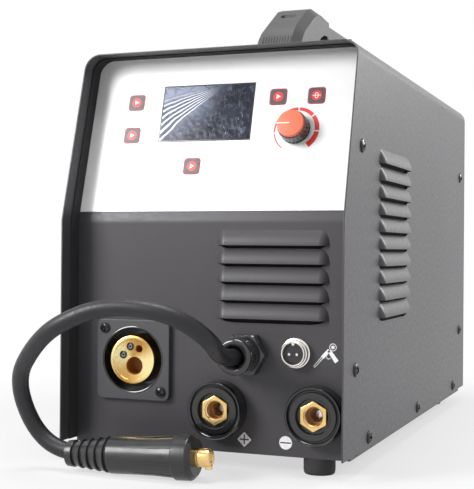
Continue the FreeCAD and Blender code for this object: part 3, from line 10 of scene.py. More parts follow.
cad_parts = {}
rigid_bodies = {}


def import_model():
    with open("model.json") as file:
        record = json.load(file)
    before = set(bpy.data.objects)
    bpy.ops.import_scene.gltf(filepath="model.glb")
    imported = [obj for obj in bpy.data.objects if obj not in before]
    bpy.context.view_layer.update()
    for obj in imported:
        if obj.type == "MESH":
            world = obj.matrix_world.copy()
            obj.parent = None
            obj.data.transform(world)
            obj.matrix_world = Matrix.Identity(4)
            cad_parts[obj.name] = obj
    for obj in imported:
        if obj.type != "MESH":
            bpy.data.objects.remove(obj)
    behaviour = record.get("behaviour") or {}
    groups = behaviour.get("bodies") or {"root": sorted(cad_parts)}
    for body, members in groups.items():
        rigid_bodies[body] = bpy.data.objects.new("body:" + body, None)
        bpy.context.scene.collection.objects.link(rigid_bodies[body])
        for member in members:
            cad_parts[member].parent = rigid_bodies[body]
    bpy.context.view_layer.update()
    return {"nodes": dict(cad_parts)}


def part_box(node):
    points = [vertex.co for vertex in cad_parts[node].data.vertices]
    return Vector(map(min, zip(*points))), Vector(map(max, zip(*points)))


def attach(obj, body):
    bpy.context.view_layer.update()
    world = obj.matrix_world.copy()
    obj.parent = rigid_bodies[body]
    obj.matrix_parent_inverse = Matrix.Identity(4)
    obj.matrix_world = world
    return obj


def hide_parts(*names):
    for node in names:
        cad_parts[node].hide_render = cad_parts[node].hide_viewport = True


bl_info = {
    "name": "Welding Machine Pieces",
    "version": (1, 0, 0),
    "blender": (4, 5, 0),
    "location": "View3D > Sidebar > Welder",
    "description": "Models the visible pieces of a wire-feed welding machine around its frame",
    "category": "Add Mesh",
}

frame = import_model()
MM = 0.001

# Case sizes in millimetres, read from the frame where a node gives them.
COVER_LOW, COVER_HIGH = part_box("cover_shell")
CASE_FRONT = round(COVER_LOW.y / MM)
CASE_REAR = round(COVER_HIGH.y / MM)
CASE_HALF = round(-COVER_LOW.x / MM)
CASE_BOTTOM = round(COVER_LOW.z / MM)
CASE_TOP = round(COVER_HIGH.z / MM)
SHEET, PANEL_SHEET, SHEET_GAP = 1.2, 1.5, 0.3
CORNER = 12
PANEL_Y = CASE_FRONT + 24
REAR_Y = CASE_REAR - 22
INNER_HALF = CASE_HALF - SHEET - SHEET_GAP
PANEL_TOP = CASE_TOP - SHEET - SHEET_GAP
BEND_Z = 181.2
SLOPE = math.radians(15.8)
SLOPE_LENGTH = (PANEL_TOP - BEND_Z) / math.cos(SLOPE)
TRAY_TOP = 13.5
# thickness of the black strip that paints shade inside the cover's lip
SHADE_STRIP_THICK = 0.7
FEET = ((-83, -203), (83, -203), (-83, 192), (83, 192))
SIDE_SCREWS = ((-193, 235), (-207, 75.5), (-168, 22), (3, 22), (175, 22), (209, 77), (209, 237))

# Columns of louvres: middle, lowest louvre, pitch.
LOUVRE_END = 7
SIDE_COLUMN = (-91, 108.6, 13.1)
FRONT_COLUMN = (49.8, 109.7, 13.3)

# Spool door with its hinges and latch; handle.
DOOR_FRONT, DOOR_REAR, DOOR_LOW, DOOR_HIGH = -169, 189, 46, 284
HINGE_LOWS = (105, 189)
HINGE_X, HINGE_Y = 3.3, 190
LATCH_Y, LATCH_Z = -152, 165
HANDLE_SCREWS = ((-34, 360.5), (118, 353.2))
HANDLE_LEAN = math.atan2(26, 41)

# Sloped control panel, measured across and up from its bend.
FILM_LOW, FILM_THICK = 6.9, 0.6
CUT_GAP = 0.25
KEYS = ((-72, 95.8), (-72.4, 68.6), (-18.8, 42.3), (44.6, 95.7), (74.4, 95.4))
KEY_HALF = (6.5, 6.3)
WINDOW = (-49.3, 62.5, 25.4, 108.2)
KNOB_X, KNOB_V = 60.8, 68.8


def face_frame(origin, across, up, out):
    """Matrix from a face's own millimetres (across, up, out) to the machine's metres."""
    matrix = Matrix((across, up, out)).transposed().to_4x4()
    matrix.translation = Vector(origin) * MM
    return matrix @ Matrix.Scale(MM, 4)


FLOOR = face_frame((0, 0, 0), (1, 0, 0), (0, 1, 0), (0, 0, 1))
FRONT = face_frame((0, PANEL_Y, 0), (1, 0, 0), (0, 0, 1), (0, -1, 0))
SLOPED = face_frame((0, PANEL_Y, BEND_Z), (1, 0, 0), (0, math.sin(SLOPE), math.cos(SLOPE)),
                    (0, -math.cos(SLOPE), math.sin(SLOPE)))
REAR = face_frame((0, REAR_Y, 0), (-1, 0, 0), (0, 0, 1), (0, 1, 0))
RIGHT = face_frame((CASE_HALF, 0, 0), (0, 1, 0), (0, 0, 1), (1, 0, 0))
LEFT = face_frame((-CASE_HALF, 0, 0), (0, -1, 0), (0, 0, 1), (-1, 0, 0))
ALONG_X = face_frame((0, 0, 0), (0, 1, 0), (0, 0, 1), (1, 0, 0))

# Where the round pieces sit: a face and a place on it.
EURO = (FRONT, -59.4, 76.5)
SOCKETS = {"plus": (FRONT, 10, 43.3), "minus": (FRONT, 84.5, 43.3)}
CABLE_GLAND = (FRONT, 31, 84.2)
MAINS_GLAND = (REAR, 52, 195)
CONTROL_SOCKET = (FRONT, 68.3, 86.3)
KNOB = (SLOPED, KNOB_X, KNOB_V)
SPOOL = (ALONG_X, 100, 165, -62)
WIRE_BORE, GAS_BORE, CONTACTS = (1.9, -4.5), (5.6, 8.3), ((-1.7, 9.9), (-7.4, 3.6))


# ---- modelling by hand: pieces are drawn in millimetres, then set down in metres

def rest():
    """Back to object mode with nothing selected."""
    if bpy.context.object and bpy.context.object.mode != "OBJECT":
        bpy.ops.object.mode_set(mode="OBJECT")
    bpy.ops.object.select_all(action="DESELECT")


def choose(*pieces):
    rest()
    for piece in pieces:
        piece.select_set(True)
    bpy.context.view_layer.objects.active = pieces[0]


def edit(piece):
    choose(piece)
    bpy.ops.object.mode_set(mode="EDIT")
    bpy.ops.mesh.select_mode(type="VERT")
    bpy.ops.mesh.select_all(action="SELECT")


def done():
    bpy.ops.object.mode_set(mode="OBJECT")


def pick(piece, kind, test):
    """In edit mode, select the verts or edges that the test picks."""
    bpy.ops.mesh.select_mode(type=kind[:-1].upper())
    bpy.ops.mesh.select_all(action="DESELECT")
    mesh = bmesh.from_edit_mesh(piece.data)
    picked = [part for part in getattr(mesh, kind) if test(part)]
    for part in picked:
        part.select_set(True)
    mesh.select_flush(True)
    bmesh.update_edit_mesh(piece.data)
    if not picked:
        raise RuntimeError(f"nothing to pick on {piece.name}")


def draw(points):
    """An open line of edges: one vertex, extruded from point to point."""
    rest()
    bpy.ops.mesh.primitive_plane_add(size=1, location=(0, 0, 0), enter_editmode=True)
    bpy.ops.mesh.merge(type="CENTER")
    at = Vector(points[0])
    bpy.ops.transform.translate(value=at)
    for point in points[1:]:
        bpy.ops.mesh.extrude_vertices_move(TRANSFORM_OT_translate={"value": Vector(point) - at})
        at = Vector(point)
    done()
    return bpy.context.object


def face_outwards(piece):
    edit(piece)
    bpy.ops.mesh.remove_doubles(threshold=0.0005)
    bpy.ops.mesh.normals_make_consistent(inside=False)
    done()
    return piece


def push(piece, move):
    """Extrude the whole piece."""
    edit(piece)
    bpy.ops.mesh.extrude_region_move(TRANSFORM_OT_translate={"value": move})
    done()
    return piece


def prism(outline, low, high):
    """A closed outline in the face's plane, filled and extruded outwards from low to high."""
    piece = draw([(x, y, low) for x, y in outline])
    edit(piece)
    bpy.ops.mesh.edge_face_add()
    done()
    return face_outwards(push(piece, (0, 0, high - low)))


def turned(profile, steps=48):
    """A line of (radius, height) points, spun around the outward axis."""
    piece = draw([(radius, 0, height) for radius, height in profile])
    edit(piece)
    bpy.ops.mesh.spin(steps=steps, angle=math.tau, center=(0, 0, 0), axis=(0, 0, 1))
    done()
    return face_outwards(piece)


def ring(outer, inner, low, high, steps=48):
    return turned([(outer, low), (outer, high), (inner, high), (inner, low), (outer, low)], steps)


def rod(radius, low, high, steps=32):
    return turned([(0, low), (radius, low), (radius, high), (0, high)], steps)


def box(low, high):
    outline = [(low[0], low[1]), (high[0], low[1]), (high[0], high[1]), (low[0], high[1])]
    return prism(outline, low[2], high[2])


def on_circle(radius, degrees, x=0, y=0):
    turn = math.radians(degrees)
    return x + radius * math.cos(turn), y + radius * math.sin(turn)


def arc(x, y, radius, start, end, steps):
    """Points on a circle from one angle to another, in degrees."""
    return [on_circle(radius, start + (end - start) * i / steps, x, y) for i in range(steps + 1)]


def hexagon(across_flats, lean=0):
    return [on_circle(across_flats / math.sqrt(3), 60 * i + lean) for i in range(6)]


def rounded(left, low, right, high, radius, steps=5):
    """Outline of a rectangle with round corners."""
    corners = ((right - radius, high - radius, 0), (left + radius, high - radius, 90),
               (left + radius, low + radius, 180), (right - radius, low + radius, 270))
    return [p for x, y, turn in corners for p in arc(x, y, radius, turn, turn + 90, steps)]


def centred(wide, high, radius, steps=5):
    """Outline of a rectangle with round corners about its own middle, from its half sizes."""
    return rounded(-wide, -high, wide, high, radius, steps)


def apply_modifier(piece, kind, **settings):
    choose(piece)
    modifier = piece.modifiers.new(kind.title(), kind)
    for key, value in settings.items():
        setattr(modifier, key, value)
    bpy.ops.object.modifier_apply(modifier=modifier.name)
    return piece


def soften(piece, width, segments=2, angle=35):
    """Round every edge sharper than the angle."""
    return apply_modifier(piece, "BEVEL", width=width, segments=segments, limit_method="ANGLE",
                          angle_limit=math.radians(angle), use_clamp_overlap=True)


def thicken(piece, thickness):
    """Give an open sheet its thickness, behind its outward face."""
    return apply_modifier(piece, "SOLIDIFY", thickness=thickness, offset=-1)


def carve(piece, *cutters, operation="DIFFERENCE"):
    for cutter in cutters:
        apply_modifier(piece, "BOOLEAN", object=cutter, operation=operation, solver="EXACT")
        bpy.data.objects.remove(cutter)
    return piece


def smooth(piece, angle=35):
    choose(piece)
    bpy.ops.object.shade_smooth_by_angle(angle=math.radians(angle))
    return piece


def paint(piece, name, angle=0):
    """Give a piece its finish; with an angle, smooth every edge flatter than that first."""
    if angle:
        smooth(piece, angle)
    piece.data.materials.clear()
    piece.data.materials.append(finish(name))
    return piece


def join(*pieces):
    choose(*pieces)
    bpy.ops.object.join()
    return pieces[0]


def lay(piece, matrix):
    choose(piece)
    piece.matrix_world = matrix
    bpy.ops.object.transform_apply(location=True, rotation=True, scale=True)
    return piece


def move(piece, x=0, y=0, z=0, turn=0, axis="Z"):
    return lay(piece, Matrix.Translation((x, y, z)) @ Matrix.Rotation(math.radians(turn), 4, axis))


def copy_of(piece, x=0, y=0, turn=0):
    """A copy with its own mesh, moved and turned in the drawing."""
    choose(piece)
    bpy.ops.object.duplicate(linked=False)
    return move(bpy.context.object, x, y, turn=turn)


def circle_of(piece, count, radius):
    """Copies of a piece all around a circle, joined; the first one goes."""
    copies = [copy_of(piece, *on_circle(radius, 360 * i / count)) for i in range(count)]
    bpy.data.objects.remove(piece)
    return join(*copies)


def column_of(piece, count, pitch):
    """A piece and its copies, one above the other, joined."""
    return join(piece, *[copy_of(piece, y=i * pitch) for i in range(1, count)])


def set_down(piece, face, x=0, y=0, z=0):
    """Put a drawn piece in its place on one of the machine's faces, in metres."""
    return lay(piece, face @ Matrix.Translation((x, y, z)))


def fit(piece, name, slot, *nodes, body="root", at=None):
    """Set a finished piece down, name it, give it its body and hide the CAD nodes it stands for; the slot is
    not used.
    """
    if at:
        set_down(piece, *at)
    piece.name = name
    if piece.type == "MESH":
        apply_modifier(piece, "WEIGHTED_NORMAL", keep_sharp=True)
    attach(piece, body)
    if nodes:
        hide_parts(*nodes)
    rest()
    return piece



# ---- materials

class Finish:
    """A node material on Object coordinates, built up from grain, tint and bump."""

    def __init__(self, name, colour, roughness, metallic=0.0, specular=0.5):
        self.material = bpy.data.materials.new(name)
        self.material.use_nodes = True
        self.tree = self.material.node_tree
        self.shader = self.tree.nodes["Principled BSDF"]
        self.colour = colour
        self.fill(self.shader, ("Base Color", (*colour, 1)), ("Roughness", roughness),
                  ("Metallic", metallic), ("Specular IOR Level", specular))

    def fill(self, node, *values):
        for key, value in values:
            node.inputs[key].default_value = value

    def node(self, kind, **settings):
        made = self.tree.nodes.new("ShaderNode" + kind)
        for key, value in settings.items():
            if key in made.inputs:
                made.inputs[key].default_value = value
            else:
                setattr(made, key, value)
        return made

    def link(self, out, into):
        self.tree.links.new(out, into)

    def coordinates(self, stretch=(1, 1, 1), centre=(0, 0, 0), turn=(0, 0, 0)):
        """Object coordinates about a centre, turned and stretched."""
        centre_after = Euler(turn).to_matrix() @ Vector([c * s for c, s in zip(centre, stretch)])
        place = self.node("Mapping", Scale=stretch, Rotation=turn, Location=-centre_after)
        self.link(self.node("TexCoord").outputs["Object"], place.inputs["Vector"])
        return place.outputs["Vector"]

    def pattern(self, made, output, **where):
        """A texture node's output, with the node laid out on the coordinates."""
        self.link(self.coordinates(**where), made.inputs[0])
        return made.outputs[output]

    def noise(self, scale, detail=3.0, rough=0.55, distort=0.0, **where):
        made = self.node("TexNoise", Scale=scale, Detail=detail, Roughness=rough, Distortion=distort)
        return self.pattern(made, "Fac", **where)

    def cells(self, scale, feature="SMOOTH_F1", **where):
        return self.pattern(self.node("TexVoronoi", feature=feature, Scale=scale), "Distance", **where)

    def waves(self, scale, kind="BANDS", distort=0.0, **where):
        """Bands or rings across Z."""
        made = self.node("TexWave", wave_type=kind, Scale=scale, Distortion=distort)
        setattr(made, kind.lower() + "_direction", "Z")
        return self.pattern(made, "Fac", **where)

    def around(self, **where):
        """From nought to one, once around the centre."""
        return self.pattern(self.node("TexGradient", gradient_type="RADIAL"), "Fac", **where)

    def away(self, **where):
        """Distance in metres from the centre."""
        return self.pattern(self.node("VectorMath", operation="LENGTH"), "Value", **where)

    def range(self, fac, low, high, start=0.3, end=0.7):
        made = self.node("MapRange")
        self.fill(made, ("From Min", start), ("From Max", end), ("To Min", low), ("To Max", high))
        self.link(fac, made.inputs["Value"])
        return made.outputs["Result"]

    def times(self, one, two, operation="MULTIPLY"):
        made = self.node("Math", operation=operation)
        for socket, value in zip(made.inputs, (one, two)):
            if isinstance(value, (int, float)):
                socket.default_value = value
            else:
                self.link(value, socket)
        return made.outputs["Value"]

    def ramp(self, fac, *stops):
        """Colours by a ramp of (position, colour)."""
        ramp = self.node("ValToRGB")
        while len(ramp.color_ramp.elements) < len(stops):
            ramp.color_ramp.elements.new(0.5)
        for element, (position, colour) in zip(ramp.color_ramp.elements, stops):
            element.position = position
            element.color = (*colour, 1)
        self.link(fac, ramp.inputs["Fac"])
        return ramp.outputs["Color"]

    def mixed(self, fac, below, colour):
        """A colour laid over another by a share."""
        made = self.node("Mix", data_type="RGBA")
        share, under, over = made.inputs[0], made.inputs[6], made.inputs[7]
        over.default_value = (*colour, 1)
        self.link(fac, share)
        self.link(below, under)
        return made.outputs[2]

    def tint(self, colours):
        self.link(colours, self.shader.inputs["Base Color"])

    def mottle(self, scale, detail, amount, **where):
        """A slight, slow change of the base colour."""
        dark = tuple(c * (1 - amount) for c in self.colour)
        light = tuple(min(1, c * (1 + amount)) for c in self.colour)
        self.tint(self.ramp(self.noise(scale, detail, **where), (0.35, dark), (0.65, light)))

    def wear(self, fac, low, high):
        """Change the roughness over the surface."""
        self.link(self.range(fac, low, high), self.shader.inputs["Roughness"])

    def relief(self, fac, depth, strength):
        """Raise the surface by a height, in metres."""
        made = self.node("Bump", Strength=strength, Distance=depth)
        self.link(fac, made.inputs["Height"])
        self.link(made.outputs["Normal"], self.shader.inputs["Normal"])


def surface(name, colour, roughness, metallic=0.0, mottle=None, wear=None, relief=None, specular=0.5):
    """A plain finish: mottle (scale, detail, amount), wear (scale, detail, least and most roughness)
    and relief (scale, detail, depth, strength)."""
    made = Finish(name, colour, roughness, metallic, specular)
    if mottle:
        made.mottle(*mottle)
    if wear:
        made.wear(made.noise(*wear[:2]), *wear[2:])
    if relief:
        made.relief(made.noise(*relief[:2]), *relief[2:])
    return made


def moulded(name, colour, roughness=0.55, grain=1300, depth=0.00012):
    """Moulded plastic with a spark-eroded grain."""
    made = surface(name, colour, roughness, 0, (14, 4, 0.08),
                   (grain * 0.4, 3, roughness - 0.06, roughness + 0.06))
    made.relief(made.cells(grain), depth, 0.45)
    return made


def glossy(name, colour, roughness=0.16, coat=0.4):
    """Polished moulding with faint sink marks and handling haze."""
    made = surface(name, colour, roughness, 0, (30, 4, 0.1), (90, 6, roughness - 0.04, roughness + 0.1),
                   (160, 2, 0.00004, 0.3))
    made.fill(made.shader, ("Coat Weight", coat), ("Coat Roughness", 0.08))
    return made


def printed(name, colour):
    """Screen-printed ink."""
    return surface(name, colour, 0.32, 0, (300, 3, 0.05), None, (1200, 3, 0.00002, 0.3))


def lathe_face(name, colour):
    """The torch connector's brass face: lathe rings in its bump, and a painted sheen of light and dark wedges
    about its own middle.
    """
    made = Finish(name, colour, 0.26, 1.0)
    where = {"centre": EURO[0] @ Vector((*EURO[1:], 0)), "turn": (math.pi / 2, 0, 0)}
    # painted highlight and shade: the colour swings between dark and pale brass four times round the face's
    # middle, as light catches a turned face
    swing = made.times(made.times(made.around(**where), 4 * math.pi), 0.9, "ADD")
    painted_sheen = made.times(made.times(made.times(swing, 0, "SINE"), 0.28), 0.5, "ADD")
    painted_sheen_and_mottle = made.times(painted_sheen, made.times(made.noise(70, 4), 0.5), "ADD")
    made.tint(made.ramp(painted_sheen_and_mottle, (0.45, (0.62, 0.36, 0.1)), (0.75, colour), (1, (1, 0.84, 0.42))))
    made.relief(made.waves(620, "RINGS", 0.4, **where), 0.00002, 0.6)
    return made


def creased_film(name, colour):
    """Dark display under a loose protective film: folds with painted highlights fan out over slate blue, with
    a painted reflection near the top left, darker cell lines and scratches.
    """
    made = Finish(name, colour, 0.2, specular=0.2)
    left, high = WINDOW[0], WINDOW[3] - 2

    def place(x):
        """A place on the display's top edge."""
        return SLOPED @ Vector((left + x, high, 0))

    base = made.ramp(made.noise(80, 7, 0.75), (0.38, (0.004, 0.005, 0.011)), (0.55, (0.018, 0.023, 0.042)),
                     (0.72, (0.12, 0.14, 0.2)))
    # painted reflection: a pale cloud near the display's top left corner
    painted_reflection = made.range(made.away(centre=place(6)), 1, 0, 0.018, 0.047)
    painted_reflection = made.times(painted_reflection, made.range(made.noise(45, 5), 0.35, 1))
    base = made.mixed(painted_reflection, base, (0.38, 0.42, 0.56))
    # darker lines along Voronoi cell edges, near the top edge
    cell_edges = made.cells(150, "DISTANCE_TO_EDGE", turn=(0, 0.5, 0.4), stretch=(0.6, 1, 1.6))
    dark = made.times(made.range(cell_edges, 1, 0, 0.02, 0.09),
                      made.range(made.away(centre=place(22)), 1, 0, 0.018, 0.03))
    dark = made.times(dark, made.range(made.noise(60), 0, 1, 0.35, 0.6))
    base = made.mixed(dark, base, (0.035, 0.045, 0.08))
    fan = made.around(centre=place(52), turn=(SLOPE - math.pi / 2, 0, 0))
    reach = made.away(centre=place(52))
    bent = made.times(fan, made.times(reach, 0.5), "SUBTRACT")
    bent = made.times(bent, made.times(made.noise(22, 4), 0.03), "SUBTRACT")
    fold_ridges_and_highlights = made.times(made.times(bent, 500), 0, "SINE")
    held = made.times(made.range(bent, 1, 0, 0.066, 0.072), made.range(reach, 0, 1, 0.006, 0.024))
    held = made.times(held, made.range(bent, 0, 1, -0.02, 0.01))
    # painted highlights: the fold zone is lifted to a paler blue and the crests of the folds go near white;
    # the folds also raise the bump
    base = made.mixed(made.times(held, 0.8), base, (0.11, 0.13, 0.21))
    base = made.mixed(made.times(made.range(fold_ridges_and_highlights, 0, 1, 0, 0.7), held), base, (0.98, 0.98, 1))
    scratches = made.noise(420, 4, 0.7, 1.5, stretch=(1.8, 0.4, 0.4))
    base = made.mixed(made.range(scratches, 0, 0.6, 0.58, 0.7), base, (0.42, 0.46, 0.56))
    made.tint(base)
    made.relief(made.times(fold_ridges_and_highlights, held), 0.0002, 0.4)
    return made


def tracks_on_board(name, colour):
    made = Finish(name, colour, 0.35)
    tracks = made.node("TexBrick", Scale=60.0, Color1=(0.015, 0.13, 0.055, 1),
                       Color2=(0.02, 0.19, 0.085, 1),
                       Mortar=(0.05, 0.28, 0.14, 1))
    made.tint(made.pattern(tracks, "Color", turn=(0, 0, 0.78)))
    made.relief(tracks.outputs["Fac"], 0.0001, 0.5)
    return made


def extruded(name, colour):
    """Metal drawn out along its length."""
    made = Finish(name, colour, 0.36, 1.0)
    made.mottle(30, 3, 0.06, stretch=(1, 12, 1))
    made.relief(made.noise(500, stretch=(1, 0.05, 1)), 0.00004, 0.5)
    return made


def laminated(name, colour):
    """Stacked laminations, varnished."""
    made = surface(name, colour, 0.45, 0.5, (40, 3, 0.25))
    made.relief(made.waves(480, distort=0.3), 0.0002, 0.6)
    return made


def seen_directly(tree):
    """One for rays that come from the camera, from gloss or through glass."""
    rays = tree.nodes.new("ShaderNodeLightPath")
    seen = rays.outputs["Is Camera Ray"]
    for kind in ("Is Glossy Ray", "Is Transmission Ray"):
        either = tree.nodes.new("ShaderNodeMath")
        either.operation = "MAXIMUM"
        tree.links.new(seen, either.inputs[0])
        tree.links.new(rays.outputs[kind], either.inputs[1])
        seen = either.outputs["Value"]
    return seen


def mix_shaders(tree, share, first, second, end):
    """Lead two shaders, mixed by a share, to the end of their tree."""
    mix = tree.nodes.new("ShaderNodeMixShader")
    for out, into in zip((share, first.outputs[0], second.outputs[0]), mix.inputs):
        tree.links.new(out, into)
    tree.links.new(mix.outputs["Shader"], tree.nodes[end].inputs["Surface"])


def fading_paper(name, colour):
    """Pale paper that takes the machine's shadow and fades to plain white further out."""
    made = Finish(name, colour, 0.9)
    share = made.range(made.away(), 0.62, 1, 0.25, 0.5)
    white = made.node("Emission", Color=(1, 1, 1, 1), Strength=1.0)
    mix_shaders(made.tree, made.times(share, seen_directly(made.tree)), made.shader, white,
                "Material Output")
    return made


# Short name: kind of finish, material, its colour or the setting that gives it, and what the kind takes.
RECIPES = {
    "powder": (surface, "powder_coat", "case_colour", 0.4, 0, (7, 4, 0.07), (300, 2, 0.33, 0.45),
               (1400, 2, 0.00006, 0.4), 0.35),
    "zinc": (surface, "bright_zinc", (0.62, 0.63, 0.64), 0.28, 1, (60, 5, 0.12), None,
             (700, 3, 0.00003, 0.4)),
    "rubber": (surface, "foot_rubber", (0.025, 0.025, 0.027), 0.75, 0, (120, 3, 0.2), None,
               (1800, 3, 0.00015, 0.5)),
    "oxide": (surface, "black_oxide", (0.035, 0.035, 0.038), 0.26, 0.6, (500, 3, 0.3), None,
              (2500, 3, 0.00003, 0.4)),
    "steel": (surface, "steel_bright", (0.82, 0.82, 0.83), 0.2, 1, None, (900, 3, 0.14, 0.3)),
    "nickel": (surface, "nickel", (0.78, 0.74, 0.70), 0.16, 1, (120, 3, 0.08), None,
               (900, 3, 0.00002, 0.4)),
    "copper": (surface, "copper_wire", (0.80, 0.42, 0.24), 0.26, 1, (220, 4, 0.14), (900, 3, 0.2, 0.36)),
    "brass": (surface, "turned_brass", "brass_colour", 0.2, 1, (90, 5, 0.1), (600, 3, 0.14, 0.28),
              (2600, 2, 0.00003, 0.5)),
    "cable": (surface, "cable_rubber", "cable_colour", 0.36, 0, (35, 5, 0.16), (260, 4, 0.36, 0.54),
              (900, 3, 0.0001, 0.4), 0.45),
    "film": (surface, "overlay_film", "overlay_colour", 0.2, 0, (12, 3, 0.012), (120, 4, 0.15, 0.26),
             (260, 2, 0.00004, 0.35)),
    "ink red": (printed, "ink_red", "accent_colour"),
    "rim red": (printed, "rim_red", (0.42, 0.025, 0.035)),
    "ink white": (printed, "ink_white", (0.95, 0.95, 0.96)),
    "ink cream": (printed, "ink_cream", (0.86, 0.78, 0.62)),
    "handle": (moulded, "handle_plastic", (0.038, 0.037, 0.039), 0.5),
    "housing": (moulded, "housing_plastic", (0.06, 0.058, 0.064), 0.42, 1100),
    # flat brown-orange standing for lit brass seen deep in the torch connector's bores: painted light
    "liner": (moulded, "liner_brown", (0.36, 0.13, 0.02), 0.5, 900, 0.00005),
    # near-black sheet behind the louvre openings: painted shade inside the case
    "foam": (moulded, "filter_foam", (0.006, 0.006, 0.006), 0.9, 500, 0.0004),
    # near-black strip inside the cover's lip: painted shade
    "seal": (moulded, "seal_rubber", (0.012, 0.012, 0.013), 0.8),
    "key grey": (moulded, "key_grey", (0.06, 0.055, 0.065), 0.35, 1500, 0.00004),
    "knob cap": (moulded, "knob_cap", "knob_colour", 0.4, 1600, 0.00004),
    "spool": (moulded, "spool_plastic", (0.03, 0.03, 0.032), 0.42, 700),
    "feeder": (moulded, "feeder_plastic", (0.035, 0.035, 0.037), 0.45),
    "fan": (moulded, "fan_plastic", (0.02, 0.02, 0.02), 0.4),
    "gloss black": (glossy, "gloss_black", (0.012, 0.012, 0.013)),
    "screw black": (glossy, "screw_black", (0.008, 0.008, 0.009), 0.2, 0),
    # darker copy of brass for the sockets' bore walls: painted shade
    "brass bore": (glossy, "brass_bore", (0.5, 0.25, 0.08), 0.3, 0.2),
    "plug": (glossy, "plug_plastic", (0.02, 0.02, 0.022), 0.3, 0.1),
    "gland": (glossy, "gland_plastic", (0.022, 0.021, 0.024), 0.14, 0.5),
    "knob side": (glossy, "knob_side", (0.03, 0.026, 0.028), 0.16, 0.5),
    "motor": (glossy, "motor_paint", (0.1, 0.1, 0.11), 0.35, 0.1),
    "tension": (glossy, "tension_red", (0.5, 0.03, 0.02), 0.3, 0.1),
    "rocker": (glossy, "rocker_red", (0.6, 0.02, 0.015), 0.2, 0.3),
    "brass face": (lathe_face, "face_brass", "brass_colour"),
    "display": (creased_film, "display_film", (0.03, 0.045, 0.07)),
    "board": (tracks_on_board, "circuit_board", (0.02, 0.16, 0.07)),
    "aluminium": (extruded, "aluminium", (0.72, 0.73, 0.74)),
    "core": (laminated, "iron_core", (0.12, 0.10, 0.085)),
    "paper": (fading_paper, "floor_paper", "floor_colour"),
}
FINISHES = {}


def finish(name):
    """A finish by its short name, made when it is first asked for."""
    if name not in FINISHES:
        make, label, colour, *rest = RECIPES[name]
        colour = setting(colour) if isinstance(colour, str) else colour
        FINISHES[name] = make(label, colour, *rest).material
    return FINISHES[name]


# ---- settings that a user would change

def colour(name, text, default):
    return FloatVectorProperty(name=name, description=text, default=default, subtype="COLOR",
                               min=0, max=1)


def length(name, text, default):
    return FloatProperty(name=name, description=text, default=default * MM, unit="LENGTH", min=0.0001)


def power(name, text, default):
    return FloatProperty(name=name, description=text, default=default, min=0, subtype="POWER")


class WelderCase(PropertyGroup):
    case_colour: colour("Case Colour", "Powder paint of the sheet metal", (0.062, 0.058, 0.064))
    louvre_rise: length("Louvre Rise", "How far the louvres stand proud of the sheet", 4.4)
    louvre_height: length("Louvre Height", "Height of one louvre", 11.2)
    side_louvres: IntProperty(name="Side Louvres", description="Louvres on the right side", default=10,
                              min=1, max=12)
    front_louvres: IntProperty(name="Front Louvres", description="Louvres on the front", default=5,
                               min=1, max=6)


class WelderControls(PropertyGroup):
    overlay_colour: colour("Overlay Colour", "Film of the control panel", (0.93, 0.93, 0.93))
    accent_colour: colour("Accent Colour", "Keys and the knob's scale", (0.78, 0.035, 0.03))
    knob_colour: colour("Knob Colour", "Cap of the knob", (0.86, 0.15, 0.075))
    scale_radius: length("Scale Radius", "Outer radius of the knob's printed scale", 17.5)
    key_corner: length("Key Corner", "Corner radius of the keys", 2.2)


class WelderConnectors(PropertyGroup):
    brass_colour: colour("Brass Colour", "Brass of the connectors", (0.86, 0.60, 0.25))
    socket_radius: length("Socket Radius", "Outer radius of a current socket", 21.3)
    bore_radius: length("Bore Radius", "Bore of a current socket", 6.5)


class WelderCable(PropertyGroup):
    cable_colour: colour("Cable Colour", "Sheath of the polarity cable", (0.013, 0.012, 0.015))
    cable_diameter: length("Cable Diameter", "Diameter of the polarity cable", 12)


class WelderStudio(PropertyGroup):
    side_power: power("Side Light", "Lamp on the right, behind", 22)
    top_power: power("Top Light", "Lamp above", 25)
    front_power: power("Front Light", "Lamp before the left side", 21)
    air_light: FloatProperty(name="Air Light", description="Even light from all around", default=0.22,
                             min=0)
    floor_colour: colour("Floor Colour", "Paper under the machine", (0.62, 0.62, 0.62))


SETTINGS = {"case": WelderCase, "controls": WelderControls, "connectors": WelderConnectors,
            "cable": WelderCable, "studio": WelderStudio}


def settings_of(group):
    return getattr(bpy.context.scene, "welder_" + group)


def setting(name):
    """A setting's value, whichever group holds it."""
    group = next(group for group, kind in SETTINGS.items() if name in kind.__annotations__)
    value = getattr(settings_of(group), name)
    return value if isinstance(value, (int, float)) else tuple(value)


def mm(name):
    """A length setting in millimetres."""
    return setting(name) / MM


# ---- small parts that come up more than once

def pan_head(radius, rise, material):
    """A pan-head screw seen from outside: a dome with a cross recess."""
    dome = [(radius * math.cos(t), rise * (0.3 + 0.7 * math.sin(t))) for t in (0.35, 0.7, 1.0, 1.25, 1.45)]
    head = turned([(radius, 0), (radius, rise * 0.3)] + dome + [(0, rise)], 28)
    wide, long = radius * 0.17, radius * 0.7
    cutters = [box((-x, -y, rise * 0.35), (x, y, rise + 1)) for x, y in ((long, wide), (wide, long))]
    funnel = turned([(0, rise * 0.1), (radius * 0.14, rise * 0.1), (radius * 0.36, rise + 0.1),
                     (0, rise + 0.1)], 8)
    return paint(carve(head, *cutters, funnel), material, 30)


def slice_of_ring(outer, start_inner, end_inner, start, end, low, high):
    """Part of a flat ring, its inner radius running from one width to another."""
    steps = max(4, abs(end - start) // 4)
    inward = [on_circle(start_inner + (end_inner - start_inner) * i / steps,
                        start + (end - start) * i / steps)
              for i in range(steps + 1)]
    return prism(arc(0, 0, outer, start, end, steps) + inward[::-1], low, high)


